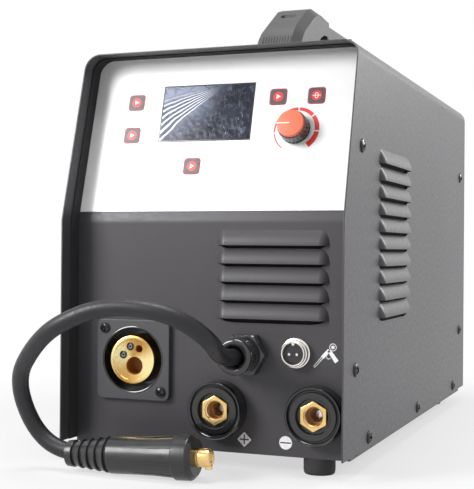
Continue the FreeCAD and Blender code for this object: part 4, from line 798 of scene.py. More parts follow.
def louvre(length, height, rise):
    """A pressed hood, open at its lower edge: two quarters of a bowl with a straight run between."""
    slope = ((0, 1), (0.12, 0.99), (0.3, 0.9), (0.5, 0.72), (0.7, 0.47), (0.85, 0.24), (0.94, 0.08), (1, 0))
    bowl = draw([(out * LOUVRE_END, 0, up * rise) for out, up in slope])
    edit(bowl)
    bpy.ops.mesh.spin(steps=20, angle=math.pi, center=(0, 0, 0), axis=(0, 0, 1))
    bpy.ops.mesh.select_all(action="SELECT")
    bpy.ops.mesh.remove_doubles(threshold=0.0005)
    bpy.ops.transform.resize(value=(1, height / LOUVRE_END, 1), center_override=(0, 0, 0))
    if min(v.co.y for v in bmesh.from_edit_mesh(bowl.data).verts) < -0.01:
        bpy.ops.transform.resize(value=(1, -1, 1), center_override=(0, 0, 0))
    done()
    straight = length / 2 - LOUVRE_END
    ends = [bowl, copy_of(bowl)]
    for part, side in zip(ends, (1, -1)):
        edit(part)
        bpy.ops.mesh.bisect(plane_co=(0, 0, 0), plane_no=(side, 0, 0), clear_inner=True)
        bpy.ops.mesh.select_all(action="SELECT")
        bpy.ops.transform.translate(value=(side * straight, 0, 0))
        done()
    hood = join(*ends)

    def beside_the_run(edge):
        """On the straight run's ends, clear of the sheet and of the open edge."""
        ends = [v.co for v in edge.verts]
        return (all(abs(abs(co.x) - straight) < 0.01 for co in ends)
                and sum(co.y for co in ends) > 0.002 and sum(co.z for co in ends) > 0.002)

    edit(hood)
    pick(hood, "edges", beside_the_run)
    bpy.ops.mesh.bridge_edge_loops()
    done()
    thicken(face_outwards(hood), SHEET * 0.8)
    return paint(hood, "powder", 40)


def louvres(name, face, length, count, column):
    """A column of hoods, each a copy of the first."""
    across, low, pitch = column
    hood = louvre(length, mm("louvre_height"), mm("louvre_rise"))
    fit(column_of(hood, count, pitch), name, "case_powder", at=(face, across, low))


def slots(length, count, column):
    """Cutters for the openings behind a column of hoods, pointed at both ends."""
    across, low, pitch = column
    half = [(1, -0.2), (5, -2.1), (12, -3.1)]
    left, right = across - length / 2, across + length / 2
    outline = ([(left + x, low + z) for x, z in half] + [(right - x, low + z) for x, z in reversed(half)]
               + [(right - 3, low + 8), (left + 3, low + 8)])
    return column_of(prism(outline, -6, 4), count, pitch)


def shade_sheet_behind_slots(name, face, across, low, wide, tall, behind):
    """A black sheet behind a column of hoods: painted shade, so the inside of the case shows dark through the
    openings.
    """
    foam = box((across - wide / 2, low, -behind - 3), (across + wide / 2, low + tall, -behind))
    fit(paint(soften(foam, 0.6), "foam", 35), name, "foot_rubber", at=(face,))


def panel_cutters():
    """Cutters for the keys, the display and the knob's shaft, set down on the sloped panel."""
    wide, high = KEY_HALF[0] + CUT_GAP, KEY_HALF[1] + CUT_GAP
    left, low, right, top = WINDOW
    tools = [prism(rounded(x - wide, v - high, x + wide, v + high, 2.4), -6, 6) for x, v in KEYS]
    tools.append(box((left - CUT_GAP, low - CUT_GAP, -6), (right + CUT_GAP, top + CUT_GAP, 6)))
    tools.append(move(rod(5, -6, 6), KNOB_X, KNOB_V))
    return [set_down(tool, SLOPED) for tool in tools]


def with_nut(body, across_flats, low, thread, material, angle, rounding=0):
    """A part with the thin nut that holds it behind the panel."""
    nut = prism(hexagon(across_flats), low, -1.8)
    carve(nut, rod(thread, low - 1.2, 0))
    if rounding:
        soften(nut, rounding)
    return paint(join(*body, nut), material, angle)


def from_frame(node, material, width=0.4, segments=2, angle=30):
    """A copy of a drawn node as one clean piece, with its sharp edges rounded."""
    choose(frame["nodes"][node])
    bpy.ops.object.duplicate(linked=False)
    piece = bpy.context.object
    choose(piece)
    bpy.ops.object.parent_clear(type="CLEAR_KEEP_TRANSFORM")
    bpy.ops.object.transform_apply(location=True, rotation=True, scale=True)
    edit(piece)
    bpy.ops.mesh.remove_doubles(threshold=0.000005)
    bpy.ops.mesh.normals_make_consistent(inside=False)
    bpy.ops.mesh.select_all(action="SELECT")
    bpy.ops.mesh.dissolve_limited(angle_limit=math.radians(1))
    done()
    for key in [k for k in piece.keys() if k.startswith("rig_")]:
        del piece[key]
    soften(piece, width * MM, segments, angle)
    return paint(piece, material, angle)


def take(node, name, material, slot, width=0.4, body="root"):
    """Dress a node that keeps its drawn shape."""
    fit(from_frame(node, material, width), name, slot, node, body=body)


def repaint(node, material):
    """Give a drawn node that shows a finish of its own."""
    piece = frame["nodes"][node]
    if not piece.material_slots:
        piece.data.materials.append(None)
    for place in piece.material_slots:
        place.link = "OBJECT"
        place.material = finish(material)


# ---- operators, one for each piece or group of like pieces

AIM = Vector((0, -0.1, 0.15))
CAMERA_PLACE = (0.314367, -0.967481, 0.159903)
CAMERA_AHEAD = Vector((-0.36130, 0.93244, 0.00436))
CAMERA_RIGHT = Vector((0.93243, 0.36126, 0.00788))


class WELDER_OT_studio(Operator):
    """Set up the floor, the lamps, the white background and the camera"""
    bl_idname = "welder.studio"
    bl_label = "Studio"

    def execute(self, context):
        scene = context.scene
        rest()
        bpy.ops.mesh.primitive_plane_add(size=40, location=(0, 0, 0))
        floor = context.object
        floor.name = "floor"
        paint(floor, "paper")

        lamps = (("side", 0.8, (1.15, 1.15, 0.9)), ("top", 0.9, (0, -0.25, 2)),
                 ("front", 0.6, (-0.84, -1.16, 0.76)))
        for name, size, place in lamps:
            rest()
            bpy.ops.object.light_add(type="AREA", location=place)
            lamp = context.object
            lamp.name = name + "_lamp"
            lamp.data.energy = setting(name + "_power")
            lamp.data.size = size
            lamp.rotation_euler = (AIM - Vector(place)).to_track_quat("-Z", "Y").to_euler()

        world = bpy.data.worlds.new("Studio")
        world.use_nodes = True
        scene.world = world
        tree = world.node_tree
        air, white = tree.nodes["Background"], tree.nodes.new("ShaderNodeBackground")
        for light, tone, strength in ((air, (0.96, 0.97, 1, 1), setting("air_light")),
                                      (white, (1, 1, 1, 1), 1)):
            light.inputs["Color"].default_value = tone
            light.inputs["Strength"].default_value = strength
        mix_shaders(tree, seen_directly(tree), air, white, "World Output")
        scene.view_settings.view_transform = "Standard"

        rest()
        bpy.ops.object.camera_add(location=CAMERA_PLACE)
        camera = context.object
        camera.name = "camera"
        ahead = CAMERA_AHEAD.normalized()
        up = CAMERA_RIGHT.cross(ahead).normalized()
        camera.rotation_euler = Matrix((ahead.cross(up), up, -ahead)).transposed().to_euler()
        camera.data.lens = 81.71
        camera.data.sensor_width = 36
        camera.data.sensor_fit = "AUTO"
        camera.data.clip_start = 0.01
        scene.camera = camera
        return {"FINISHED"}


ROUTE = ((0.031, -0.237, 0.0842), (0.031, -0.264, 0.0842), (0.0335, -0.292, 0.101), (0.012, -0.309, 0.1185),
         (-0.032, -0.313, 0.1225), (-0.066, -0.317, 0.1095), (-0.090, -0.308, 0.093),
         (-0.117, -0.287, 0.0665), (-0.1145, -0.2685, 0.0295), (-0.0915, -0.267, 0.0125),
         (-0.0705, -0.2665, 0.0133))
PLUG_SOCKET = 14


def plug_frame():
    """The plug's own millimetres: z along the cable's last run."""
    along = (Vector(ROUTE[-1]) - Vector(ROUTE[-2])).normalized()
    place = Matrix.Translation(Vector(ROUTE[-1]) - along * PLUG_SOCKET * MM)
    turn = Vector((0, 0, 1)).rotation_difference(along).to_matrix().to_4x4()
    return place @ turn @ Matrix.Scale(MM, 4)


class WELDER_OT_polarity_cable(Operator):
    """Lay the polarity cable along its route and fit its plug"""
    bl_idname = "welder.polarity_cable"
    bl_label = "Polarity Cable"

    def execute(self, context):
        sleeve = [(6.1, 14), (6.1, 0.6), (9.2, 0)]
        for i in range(5):
            low, wide = 6.6 * i, 9.2 + 0.78 * i
            sleeve += [(wide + 0.5, low + 4.6), (wide + 0.2, low + 5.1), (wide - 0.9, low + 5.2),
                       (wide - 0.7, low + 6.4)]
        rubber = smooth(turned(sleeve + [(12.2, 33.4), (12.2, 36)], 40), 40)
        grip = smooth(turned([(12.2, 33.2), (13.2, 34.2), (13.3, 56), (13.6, 68), (14.4, 80),
                              (14.7, 84)], 44), 40)
        ridge = prism([(12.8, 44), (15.3, 83.6), (15.3, 84), (12.8, 84)], -0.5, 0.5)
        move(ridge, turn=90, axis="X")
        ridges = [copy_of(ridge, turn=45 * i + 12) for i in range(8)]
        bpy.data.objects.remove(ridge)
        collar = smooth(turned([(12, 83.9), (15.6, 83.9), (16, 84.4), (16, 94.4), (15.6, 95.4),
                                (13.4, 97.6), (12.6, 98), (6.6, 98), (6.6, 92)], 40), 25)
        plug = paint(join(rubber, grip, collar, *ridges), "plug")

        pin = turned([(0, 96), (6.5, 96), (6.5, 107.4), (5.6, 109), (3.4, 109), (3.2, 108.2),
                      (0, 108.2)], 32)
        lug = soften(box((4, -2, 105), (8.1, 2, 109)), 0.5)
        smooth(carve(pin, ring(8, 5.9, 99.6, 101)))
        pin = paint(join(pin, lug), "brass")

        rest()
        bpy.ops.curve.primitive_nurbs_path_add(location=(0, 0, 0))
        cable = context.object
        line = cable.data
        line.splines.clear()
        spline = line.splines.new("NURBS")
        spline.points.add(len(ROUTE) - 1)
        for point, place in zip(spline.points, ROUTE):
            point.co = (*place, 1)
        spline.order_u = 3
        spline.use_endpoint_u = True
        spline.resolution_u = 16
        diameter = setting("cable_diameter")
        line.bevel_depth = diameter / 2
        line.bevel_resolution = 8
        line.use_fill_caps = True
        fit(paint(cable, "cable"), "polarity_cable_sheath", "cable_rubber", "polarity_cable")
        fit(plug, "polarity_plug", "connector_black", "plug_body", at=(plug_frame(),))
        fit(pin, "polarity_plug_pin", "brass", "plug_pin", at=(plug_frame(),))
        return {"FINISHED"}


class WELDER_OT_case_cover(Operator):
    """Fold the cover over the sides and the top, rake its front edge, and press its louvres"""
    bl_idname = "welder.case_cover"
    bl_label = "Case Cover"

    def execute(self, context):
        count = setting("side_louvres")
        half = [(CASE_HALF, CASE_BOTTOM)] + arc(CASE_HALF - CORNER, CASE_TOP - CORNER, CORNER, 0, 90, 8)
        line = half + [(-x, z) for x, z in reversed(half)]
        cover = draw([(x, CASE_FRONT, z) for x, z in line])
        push(cover, (0, CASE_REAR - CASE_FRONT, 0))
        edit(cover)
        bpy.ops.mesh.bisect(plane_co=(0, CASE_FRONT, BEND_Z),
                            plane_no=(0, -math.cos(SLOPE), math.sin(SLOPE)),
                            clear_outer=True)
        done()
        thicken(face_outwards(cover), SHEET)
        set_down(cover, FLOOR)
        hole = box((-DOOR_REAR - 5, DOOR_LOW - 1, -12), (-DOOR_FRONT + 1, DOOR_HIGH + 1, 5))
        carve(cover, set_down(hole, LEFT), set_down(slots(99, count, SIDE_COLUMN), RIGHT))
        soften(cover, 0.0003, 2, 50)
        fit(paint(cover, "powder", 35), "case_cover", "case_powder", "cover_shell")
        louvres("side_louvres", RIGHT, 102, count, SIDE_COLUMN)
        # black sheet behind the side openings: painted shade inside the case
        shade_sheet_behind_slots("side_filter", RIGHT, SIDE_COLUMN[0], SIDE_COLUMN[1] - 8, 112, 140, SHEET + 0.5)
        self.seal(line)
        return {"FINISHED"}

    def seal(self, line):
        """Black strip inside the cover, from the panel half way to the front edge: painted shade on the inner
        face of the cover's lip.
        """
        inset = SHEET + 0.05
        inner = [(x * (CASE_HALF - inset) / CASE_HALF, z - inset * (z > CASE_TOP - CORNER))
                 for x, z in line]
        seal = draw([(x, CASE_FRONT, z) for x, z in inner])
        push(seal, (0, 120, 0))
        thicken(face_outwards(seal), SHADE_STRIP_THICK)
        set_down(seal, FLOOR)
        lean = (CASE_TOP + 20 - BEND_Z) * math.tan(SLOPE)
        front, rear = PANEL_Y - 12, PANEL_Y - 0.3
        strip = prism([(front, 0), (rear, 0), (rear, BEND_Z), (rear + lean, CASE_TOP + 20),
                       (front + lean, CASE_TOP + 20), (front, BEND_Z)], -200, 200)
        carve(seal, set_down(strip, ALONG_X), operation="INTERSECT")
        fit(paint(seal, "seal", 40), "panel_seal", "foot_rubber")


class WELDER_OT_front_sheet(Operator):
    """Bend the front sheet, round its corners, cut its openings and press its louvres"""
    bl_idname = "welder.front_sheet"
    bl_label = "Front Sheet"

    def execute(self, context):
        count = setting("front_louvres")
        bend = [(BEND_Z - 2.4 + 0.8 * i, -0.02 * i * i) for i in range(4)]
        slope = [(z, -(z - BEND_Z) * math.tan(SLOPE)) for z in (BEND_Z + 2.6, PANEL_TOP)]
        line = [(TRAY_TOP, 0)] + bend + slope
        sheet = draw([(-INNER_HALF, z, out) for z, out in line])
        push(sheet, (2 * INNER_HALF, 0, 0))
        edit(sheet)
        pick(sheet, "verts", lambda v: v.co.y > PANEL_TOP - 0.01)
        bpy.ops.mesh.bevel(offset=CORNER, segments=6, affect="VERTICES")
        done()
        thicken(face_outwards(sheet), PANEL_SHEET)
        holes = ((EURO, 27.8), (SOCKETS["plus"], 13.3), (SOCKETS["minus"], 13.3), (CABLE_GLAND, 8.3),
                 (CONTROL_SOCKET, 8.1))
        cutters = [move(rod(radius, -8, 4), *place[1:]) for place, radius in holes]
        carve(sheet, *cutters, slots(83, count, FRONT_COLUMN))
        set_down(sheet, FRONT)
        carve(sheet, *panel_cutters())
        fit(paint(sheet, "powder", 25), "front_sheet", "case_powder", "front_panel", "control_panel")
        louvres("front_louvres", FRONT, 86, count, FRONT_COLUMN)
        # black sheet behind the front openings: painted shade inside the case
        shade_sheet_behind_slots("front_filter", FRONT, FRONT_COLUMN[0], FRONT_COLUMN[1] - 6, 92, 74, PANEL_SHEET + 0.5)
        return {"FINISHED"}


class WELDER_OT_case_sheets(Operator):
    """Paint the tray, the rear panel, the flanges and the divider, which keep their drawn shape"""
    bl_idname = "welder.case_sheets"
    bl_label = "Inner Sheets"

    def execute(self, context):
        for node in ("base_tray", "rear_panel", "panel_flange_left", "panel_flange_right"):
            repaint(node, "powder")
        repaint("centre_divider", "zinc")
        return {"FINISHED"}


class WELDER_OT_feet(Operator):
    """Turn the four rubber feet"""
    bl_idname = "welder.feet"
    bl_label = "Feet"

    def execute(self, context):
        profile = [(0, 4), (5, 4), (5.75, 3), (5.75, 0), (10.4, 0), (11.1, 0.8), (11.5, 3), (11.5, 12),
                   (0, 12)]
        first = paint(turned(profile, 40), "rubber", 35)
        feet = join(*[set_down(copy_of(first), FLOOR, x, y) for x, y in FEET])
        bpy.data.objects.remove(first)
        fit(feet, "rubber_foot_set", "foot_rubber", "rubber_feet")
        return {"FINISHED"}


class WELDER_OT_case_screws(Operator):
    """Fit the pan-head screws in both sides of the case"""
    bl_idname = "welder.case_screws"
    bl_label = "Case Screws"

    def execute(self, context):
        first = pan_head(5, 2.2, "screw black")
        heads = [set_down(copy_of(first, turn=17 + 31 * count), face, side * y, z)
                 for face, side in ((RIGHT, 1), (LEFT, -1)) for count, (y, z) in enumerate(SIDE_SCREWS)]
        bpy.data.objects.remove(first)
        fit(join(*heads), "case_screws", "black_screw", "cover_screws")
        return {"FINISHED"}


class WELDER_OT_spool_door(Operator):
    """Press the spool door, roll its hinge knuckles and fit the quarter-turn latch"""
    bl_idname = "welder.spool_door"
    bl_label = "Spool Door"

    def execute(self, context):
        # drawn on the left side: across is -y, out is away from the case
        leaf = prism(rounded(-DOOR_REAR, DOOR_LOW, -DOOR_FRONT, DOOR_HIGH, 3), -SHEET, 0)
        carve(leaf, move(rod(8.1, -4, 4), -LATCH_Y, LATCH_Z))
        soften(leaf, 0.35, 2, 30)
        bead = prism(self.inner_edge(30, 10), -0.2, 0.9)
        carve(bead, prism(self.inner_edge(38, 5), -2, 2))
        parts = [leaf, soften(bead, 0.7, 3)]
        for low in HINGE_LOWS:
            start, end = low + 9.3, low + 26.7
            parts.append(soften(box((-HINGE_Y, start, -SHEET), (20 - HINGE_Y, end, 0.9)), 0.3))
            parts.append(self.knuckle(start, end, 1.55))
        fit(paint(join(*parts), "powder", 35), "spool_door_leaf", "case_powder", "spool_door",
            body="door", at=(LEFT,))

        parts = []
        for low in HINGE_LOWS:
            ends = ((low, low + 9), (low + 27, low + 36))
            parts.append(self.knuckle(low - 0.4, low + 36.4, 0, 1.5))
            parts += [self.knuckle(start, end, 1.5) for start, end in ends]
            parts.append(soften(box((-HINGE_Y - 20, low, -SHEET), (-HINGE_Y - 4, low + 36, 0.9)), 0.3))
            parts += [box((-HINGE_Y - 5, start, -SHEET), (-HINGE_Y, end, 0.9)) for start, end in ends]
            parts += [move(pan_head(2.6, 1.1, "oxide"), -HINGE_Y - 12, height, 0.9)
                      for height in (low + 9, low + 27)]
        fit(paint(join(*parts), "oxide", 35), "hinge_leaves", "black_screw", "door_hinges", at=(LEFT,))

        head = turned([(0, 0.3), (11, 0.3), (11, 3.6), (10.2, 5), (8.6, 5), (8.2, 4.4), (0, 4.4)])
        wing = soften(prism(centred(10, 2.5, 1.2), 4.2, 9), 0.8)
        shaft = rod(8, -3.5, 0.3)
        cam = prism(rounded(-6, -6, 6, 26, 3), -3.5, -1.5)
        fit(paint(join(head, wing, shaft, cam), "handle", 35), "latch_turn_knob", "handle_plastic",
            "door_latch", body="latch", at=(LEFT, -LATCH_Y, LATCH_Z))
        return {"FINISHED"}

    def inner_edge(self, inset, radius):
        """The door's outline, moved inwards."""
        return rounded(inset - DOOR_REAR, DOOR_LOW + inset, -DOOR_FRONT - inset, DOOR_HIGH - inset, radius)

    def knuckle(self, low, high, bore, radius=3):
        """A rolled knuckle around the upright hinge pin, or the pin itself where it has no bore."""
        part = ring(radius, bore, low, high, 24) if bore else rod(radius, low, high, 24)
        move(part, turn=-90, axis="X")
        return move(part, -HINGE_Y, 0, HINGE_X)


class WELDER_OT_carry_handle(Operator):
    """Mould the carry handle with its ribs and its four screws"""
    bl_idname = "welder.carry_handle"
    bl_label = "Carry Handle"

    def execute(self, context):
        handle = from_frame("carry_handle", "handle", 0.9, 3, 20)
        fit(handle, "handle_moulding", "handle_plastic", "carry_handle")
        ribs = join(*[box((x - 0.3, 4, -0.4), (x + 0.3, 38, 0.2))
                      for x in (2.5 * i - 12.5 for i in range(11))])
        # stood up on the handle's leaning front face
        foot = Matrix.Translation((0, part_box("carry_handle")[0].y, (CASE_TOP + 1) * MM))
        lay(ribs, foot @ Matrix.Rotation(math.radians(90) - HANDLE_LEAN, 4, "X") @ FLOOR)
        fit(paint(ribs, "handle"), "handle_ribs", "handle_plastic")

        heads = []
        for y, z in HANDLE_SCREWS:
            for x, turn in ((-3.5, 20), (3.5, 65)):
                screw = join(pan_head(2.8, 1.4, "steel"),
                             paint(rod(2.8, -3.5, 0, 28), "steel", 35))
                heads.append(set_down(move(screw, turn=turn), FLOOR, x, y, z))
        fit(join(*heads), "handle_fixing_screws", "bright_screw", "handle_screws")
        return {"FINISHED"}


class WELDER_OT_control_overlay(Operator):
    """Lay the white film on the sloped panel and print the knob's scale"""
    bl_idname = "welder.control_overlay"
    bl_label = "Control Overlay"

    def execute(self, context):
        high = SLOPE_LENGTH - 0.3
        outline = ([(-INNER_HALF, FILM_LOW), (INNER_HALF, FILM_LOW)]
                   + arc(INNER_HALF - CORNER, high - CORNER, CORNER, 0, 90, 8)
                   + arc(CORNER - INNER_HALF, high - CORNER, CORNER, 90, 180, 8))
        film = set_down(prism(outline, 0.02, FILM_THICK), SLOPED)
        carve(film, *panel_cutters())
        soften(film, 0.00012, 1, 50)
        fit(paint(film, "film", 30), "overlay_sheet", "overlay_white", "control_overlay")

        # the scale's bands widen as they go round
        radius = mm("scale_radius")
        bands = ((235, 190, 1.0), (186, 140, 1.7), (136, 90, 2.4), (86, 44, 3.0), (40, -3, 3.6),
                 (-7, -53, 4.3))
        widths = [0.7] + [width for start, end, width in bands]
        marks = [slice_of_ring(radius, radius - before, radius - width, start, end, 0, 0.07)
                 for before, (start, end, width) in zip(widths, bands)]
        fit(paint(join(*marks), "ink red"), "knob_scale", "overlay_white",
            at=(SLOPED, KNOB_X + 0.4, KNOB_V + 0.2, FILM_THICK))
        return {"FINISHED"}


class WELDER_OT_display(Operator):
    """Set the display window into the overlay under its protective film"""
    bl_idname = "welder.display"
    bl_label = "Display"

    def execute(self, context):
        left, low, right, high = WINDOW
        edge = prism(rounded(left, low, right, high, 0.8), -1.8, FILM_THICK + 0.1)
        collar = prism(rounded(left - 2, low - 2, right + 2, high + 2, 1), -2.8, -1.8)
        fit(paint(join(edge, collar), "gloss black"), "display_frame", "display_dark",
            "display_window", at=(SLOPED,))

        rest()
        wide, tall = right - left - 1.6, high - low - 1.6
        bpy.ops.mesh.primitive_grid_add(x_subdivisions=60, y_subdivisions=36, size=1, location=(0, 0, 0))
        film = context.object
        edit(film)
        bpy.ops.transform.resize(value=(wide, tall, 1))
        pick(film, "verts", lambda v: abs(v.co.x) < wide / 2 - 2 and abs(v.co.y) < tall / 2 - 2)
        bpy.ops.transform.vertex_random(offset=0.11, uniform=0, normal=1, seed=4)
        bpy.ops.mesh.vertices_smooth(factor=0.5, repeat=1, xaxis=False, yaxis=False)
        done()
        fit(paint(film, "display", 80), "display_film", "display_dark",
            at=(SLOPED, (left + right) / 2, (low + high) / 2, FILM_THICK + 0.2))
        return {"FINISHED"}


class WELDER_OT_keys(Operator):
    """Mould the five keys with their red rims and printed marks"""
    bl_idname = "welder.keys"
    bl_label = "Keys"

    def execute(self, context):
        wide, high = KEY_HALF
        corner = mm("key_corner")
        for number, (x, v) in enumerate(KEYS, start=1):
            rim = paint(soften(prism(centred(wide, high, corner), -1.8, 0.85), 0.15, 2, 50), "rim red")
            collar = prism(centred(wide + 1, high + 1, corner), -2.8, -1.8)
            stem = rod(2, -7.5, -2.8, 20)
            pad = soften(prism(centred(wide - 0.6, high - 0.6, corner - 0.5), 0.5, 0.97), 0.15, 2, 50)
            key = join(rim, *[paint(part, "key grey") for part in (collar, stem, pad)])
            name = f"key_{number}"
            fit(smooth(key), name + "_cap", "key_red", name, body=name, at=(SLOPED, x, v))
            mark = join(*self.mark(number))
            fit(mark, name + "_mark", "key_red", body=name, at=(SLOPED, x, v, 0.97))
        return {"FINISHED"}

    def mark(self, number):
        """A red disc with a white triangle, or on the last key a wire running through a ring."""
        disc = paint(rod(3.9, 0, 0.05, 32), "ink red")
        if number < 5:
            return [disc, paint(prism([(-1.3, -1.9), (2.1, 0), (-1.3, 1.9)], 0.05, 0.1), "ink white")]
        loop, eye = (arc(0, 1, radius, 0, 180, 10) + arc(0, -1, radius, 180, 360, 10)
                     for radius in (1.35, 0.85))
        loop = carve(prism(loop, 0.05, 0.1), prism(eye, -1, 1))
        wire = box((-3, -0.25, 0.06), (3, 0.25, 0.11))
        return [disc, paint(loop, "ink white"), paint(wire, "ink white")]


class WELDER_OT_knob(Operator):
    """Turn the knob's fluted skirt and fit its coloured cap and pointer"""
    bl_idname = "welder.knob"
    bl_label = "Knob"

    def execute(self, context):
        skirt = turned([(0, -8.5), (3, -8.5), (3, 1.6), (11.2, 1.6), (11.5, 2.1), (11.2, 10.6),
                        (10.9, 11.6), (10.4, 12), (0, 12)], 72)
        carve(skirt, circle_of(rod(1.5, 2.6, 11, 14), 24, 12.35))
        fit(paint(skirt, "knob side", 30), "knob_skirt", "knob_grey", "knob_body", body="knob", at=KNOB)

        cap = turned([(0, 12), (10.25, 12), (10.25, 13.9), (9.9, 14.6), (9.2, 14.9), (0, 15)], 64)
        carve(cap, circle_of(rod(0.55, 11, 16, 10), 24, 10.5))
        line = box((-10.2, -0.45, 14.5), (-0.4, 0.45, 15.06))
        tip = soften(prism([(-11.4, -1), (-9.8, -1), (-9.8, 1), (-11.4, 1)], 12, 14.4), 0.4)
        cap = join(paint(cap, "knob cap", 30), paint(tip, "knob cap"), paint(line, "ink cream"))
        fit(cap, "knob_cover", "knob_red", "knob_cap", body="knob", at=KNOB)
        return {"FINISHED"}


class WELDER_OT_torch_connector(Operator):
    """Build the torch connector: square flange, black cup, brass face, contacts and screws"""
    bl_idname = "welder.torch_connector"
    bl_label = "Torch Connector"

    def execute(self, context):
        flange = carve(prism(centred(30, 30, 5, 6), 0, 4), rod(24.3, -1, 6, 64))
        soften(flange, 0.7, 3)
        cup = turned([(18.6, -16), (23.6, -16), (23.6, 3.4), (23.9, 4.1), (24.5, 4.3), (25.1, 4.1),
                      (25.2, 3.9), (25.2, -0.2), (27.5, -0.2), (27.5, -20), (18.6, -20), (18.6, -16)], 72)
        housing = join(paint(flange, "housing", 40), paint(cup, "gloss black", 30))
        fit(housing, "torch_flange", "connector_grey", "euro_housing", at=EURO)

        brass = turned([(0, -21), (18.5, -21), (18.5, 3.6), (17.9, 4.7), (16.8, 5), (15.4, 5),
                        (15.1, 4.6), (0, 4.6)], 72)
        carve(brass, move(rod(6.8, -30, 7, 48), *WIRE_BORE), move(rod(3, -15, 7), *GAS_BORE),
              *[move(rod(3, -5, 7), *place) for place in CONTACTS])
        parts = [paint(brass, "brass face", 30)]
        # the wire and gas bores get a flat brown-orange lining with a closed floor: painted light of brass lit
        # deep in the bores
        for place, radius, mouth, floor in ((WIRE_BORE, 6.8, 4, -6), (GAS_BORE, 3, 4.2, -3)):
            liner = turned([(0, floor), (radius - 0.4, floor), (radius - 0.3, mouth),
                            (radius + 0.03, mouth), (radius + 0.03, floor - 1), (0, floor - 1)])
            parts.append(move(paint(liner, "liner", 35), *place))
        fit(join(*parts), "torch_brass", "brass", "euro_brass", at=EURO)

        parts = []
        for place in CONTACTS:
            collar = turned([(1.6, -4), (3.03, -4), (3.03, 4.9), (2.8, 5.1), (2.2, 5.1), (1.6, 4.4),
                             (1.6, -4)], 32)
            pin = turned([(0.8, -3), (0.8, 4.5), (1, 4.8), (1.4, 4.8), (1.63, 4.5), (1.63, -3),
                          (0.8, -3)], 24)
            floor = rod(1.62, -3.9, -2.5, 20)
            finished = (paint(collar, "screw black", 35), paint(pin, "steel", 35), paint(floor, "gloss black"))
            parts += [move(part, *place) for part in finished]
        fit(join(*parts), "torch_contacts", "contact_black", "euro_contacts", at=EURO)

        heads = [move(pan_head(3.9, 2.4, "screw black"), 23.25 * side, -23.25 * side, 4, turn)
                 for side, turn in ((-1, 20), (1, 55))]
        fit(join(*heads), "torch_screws", "black_screw", "euro_screws", at=EURO)
        return {"FINISHED"}


class WELDER_OT_current_sockets(Operator):
    """Mould the two current sockets and their brass inserts"""
    bl_idname = "welder.current_sockets"
    bl_label = "Current Sockets"

    def execute(self, context):
        outer, bore = mm("socket_radius"), mm("bore_radius")
        for label, place in SOCKETS.items():
            name = "socket_" + label
            body = turned([
                (10.3, 8.6), (12.3, 8.6), (12.6, 9), (12.8, 11.9), (13.3, 12.3), (16.9, 12.3), (17.4, 11.8),
                (17.5, 10.4), (18.3, 10.4), (18.5, 12), (19.2, 12.9), (20.2, 13), (outer - 0.5, 12.2),
                (outer, 10.8), (outer, 1), (outer, 0), (13, 0), (13, -16), (10.3, -16), (10.3, 8.6)], 80)
            shell = with_nut([smooth(body, 30)], 34, -7.8, 13.1, "gloss black", 35, 0.8)
            fit(shell, name + "_shell", "connector_black", name + "_housing", at=place)

            core = soften(prism(hexagon(19.6, 30), -16, 11), 0.9, 3, 25)
            carve(core, turned([(0, -14), (bore, -14), (bore, 9.4), (bore + 0.8, 10.1),
                                (bore + 1, 12), (0, 12)]))
            # the bore's wall and step are a darker copy of brass: painted shade inside the bore
            shaded_wall = ring(bore + 0.05, bore - 0.2, -14, 9.2)
            shaded_step = ring(bore - 0.1, bore - 1.5, -14, 2.5)
            stud = rod(5, -36, -15.9)
            brass = join(paint(core, "brass", 30), paint(shaded_wall, "brass bore", 35),
                         paint(shaded_step, "brass bore", 35), paint(stud, "brass", 35))
            fit(brass, name + "_insert", "brass", name + "_brass", at=place)
            tip = turned([(0, -14), (3.3, -14), (3.3, -5.6), (2.6, -5), (0, -4.8)], 28)
            carve(tip, box((-0.4, -4, -5.6), (0.4, 4, -4)))
            fit(paint(tip, "steel", 35), name + "_screw", "brass", at=place)
        return {"FINISHED"}


class WELDER_OT_glands(Operator):
    """Turn the cable glands on the front and the rear: hexagonal body and nut, domed and fluted cap"""
    bl_idname = "welder.glands"
    bl_label = "Cable Glands"

    def execute(self, context):
        for name, place, bore in (("cable_gland", CABLE_GLAND, 6.1), ("mains_gland", MAINS_GLAND, 4.5)):
            body = prism(hexagon(28.5), 0, 10.5)
            carve(body, turned([(13.9, 10.6), (17, 8.6), (17.4, 10.6), (13.9, 10.6)], 64))
            soften(body, 0.35, 2, 20)
            body = with_nut([body, rod(8, -14, 0)], 27.5, -6.8, 8.1, "gland", 35)
            fit(body, name + "_hexagon", "connector_black", name + "_body", at=place)
            cap = turned([(0, 10.4), (11.8, 10.4), (12.6, 11.2), (12.6, 22), (13, 22.6)]
                         + arc(10.25, 25.9, 3, -10, 175, 12)
                         + [(bore + 0.8, 24.5), (bore, 23.5), (bore, 22), (0, 22)], 64)
            carve(cap, circle_of(rod(0.9, 11.4, 21.5, 12), 22, 12.95))
            fit(paint(cap, "gland", 35), name + "_dome", "connector_black", name + "_cap", at=place)
        return {"FINISHED"}


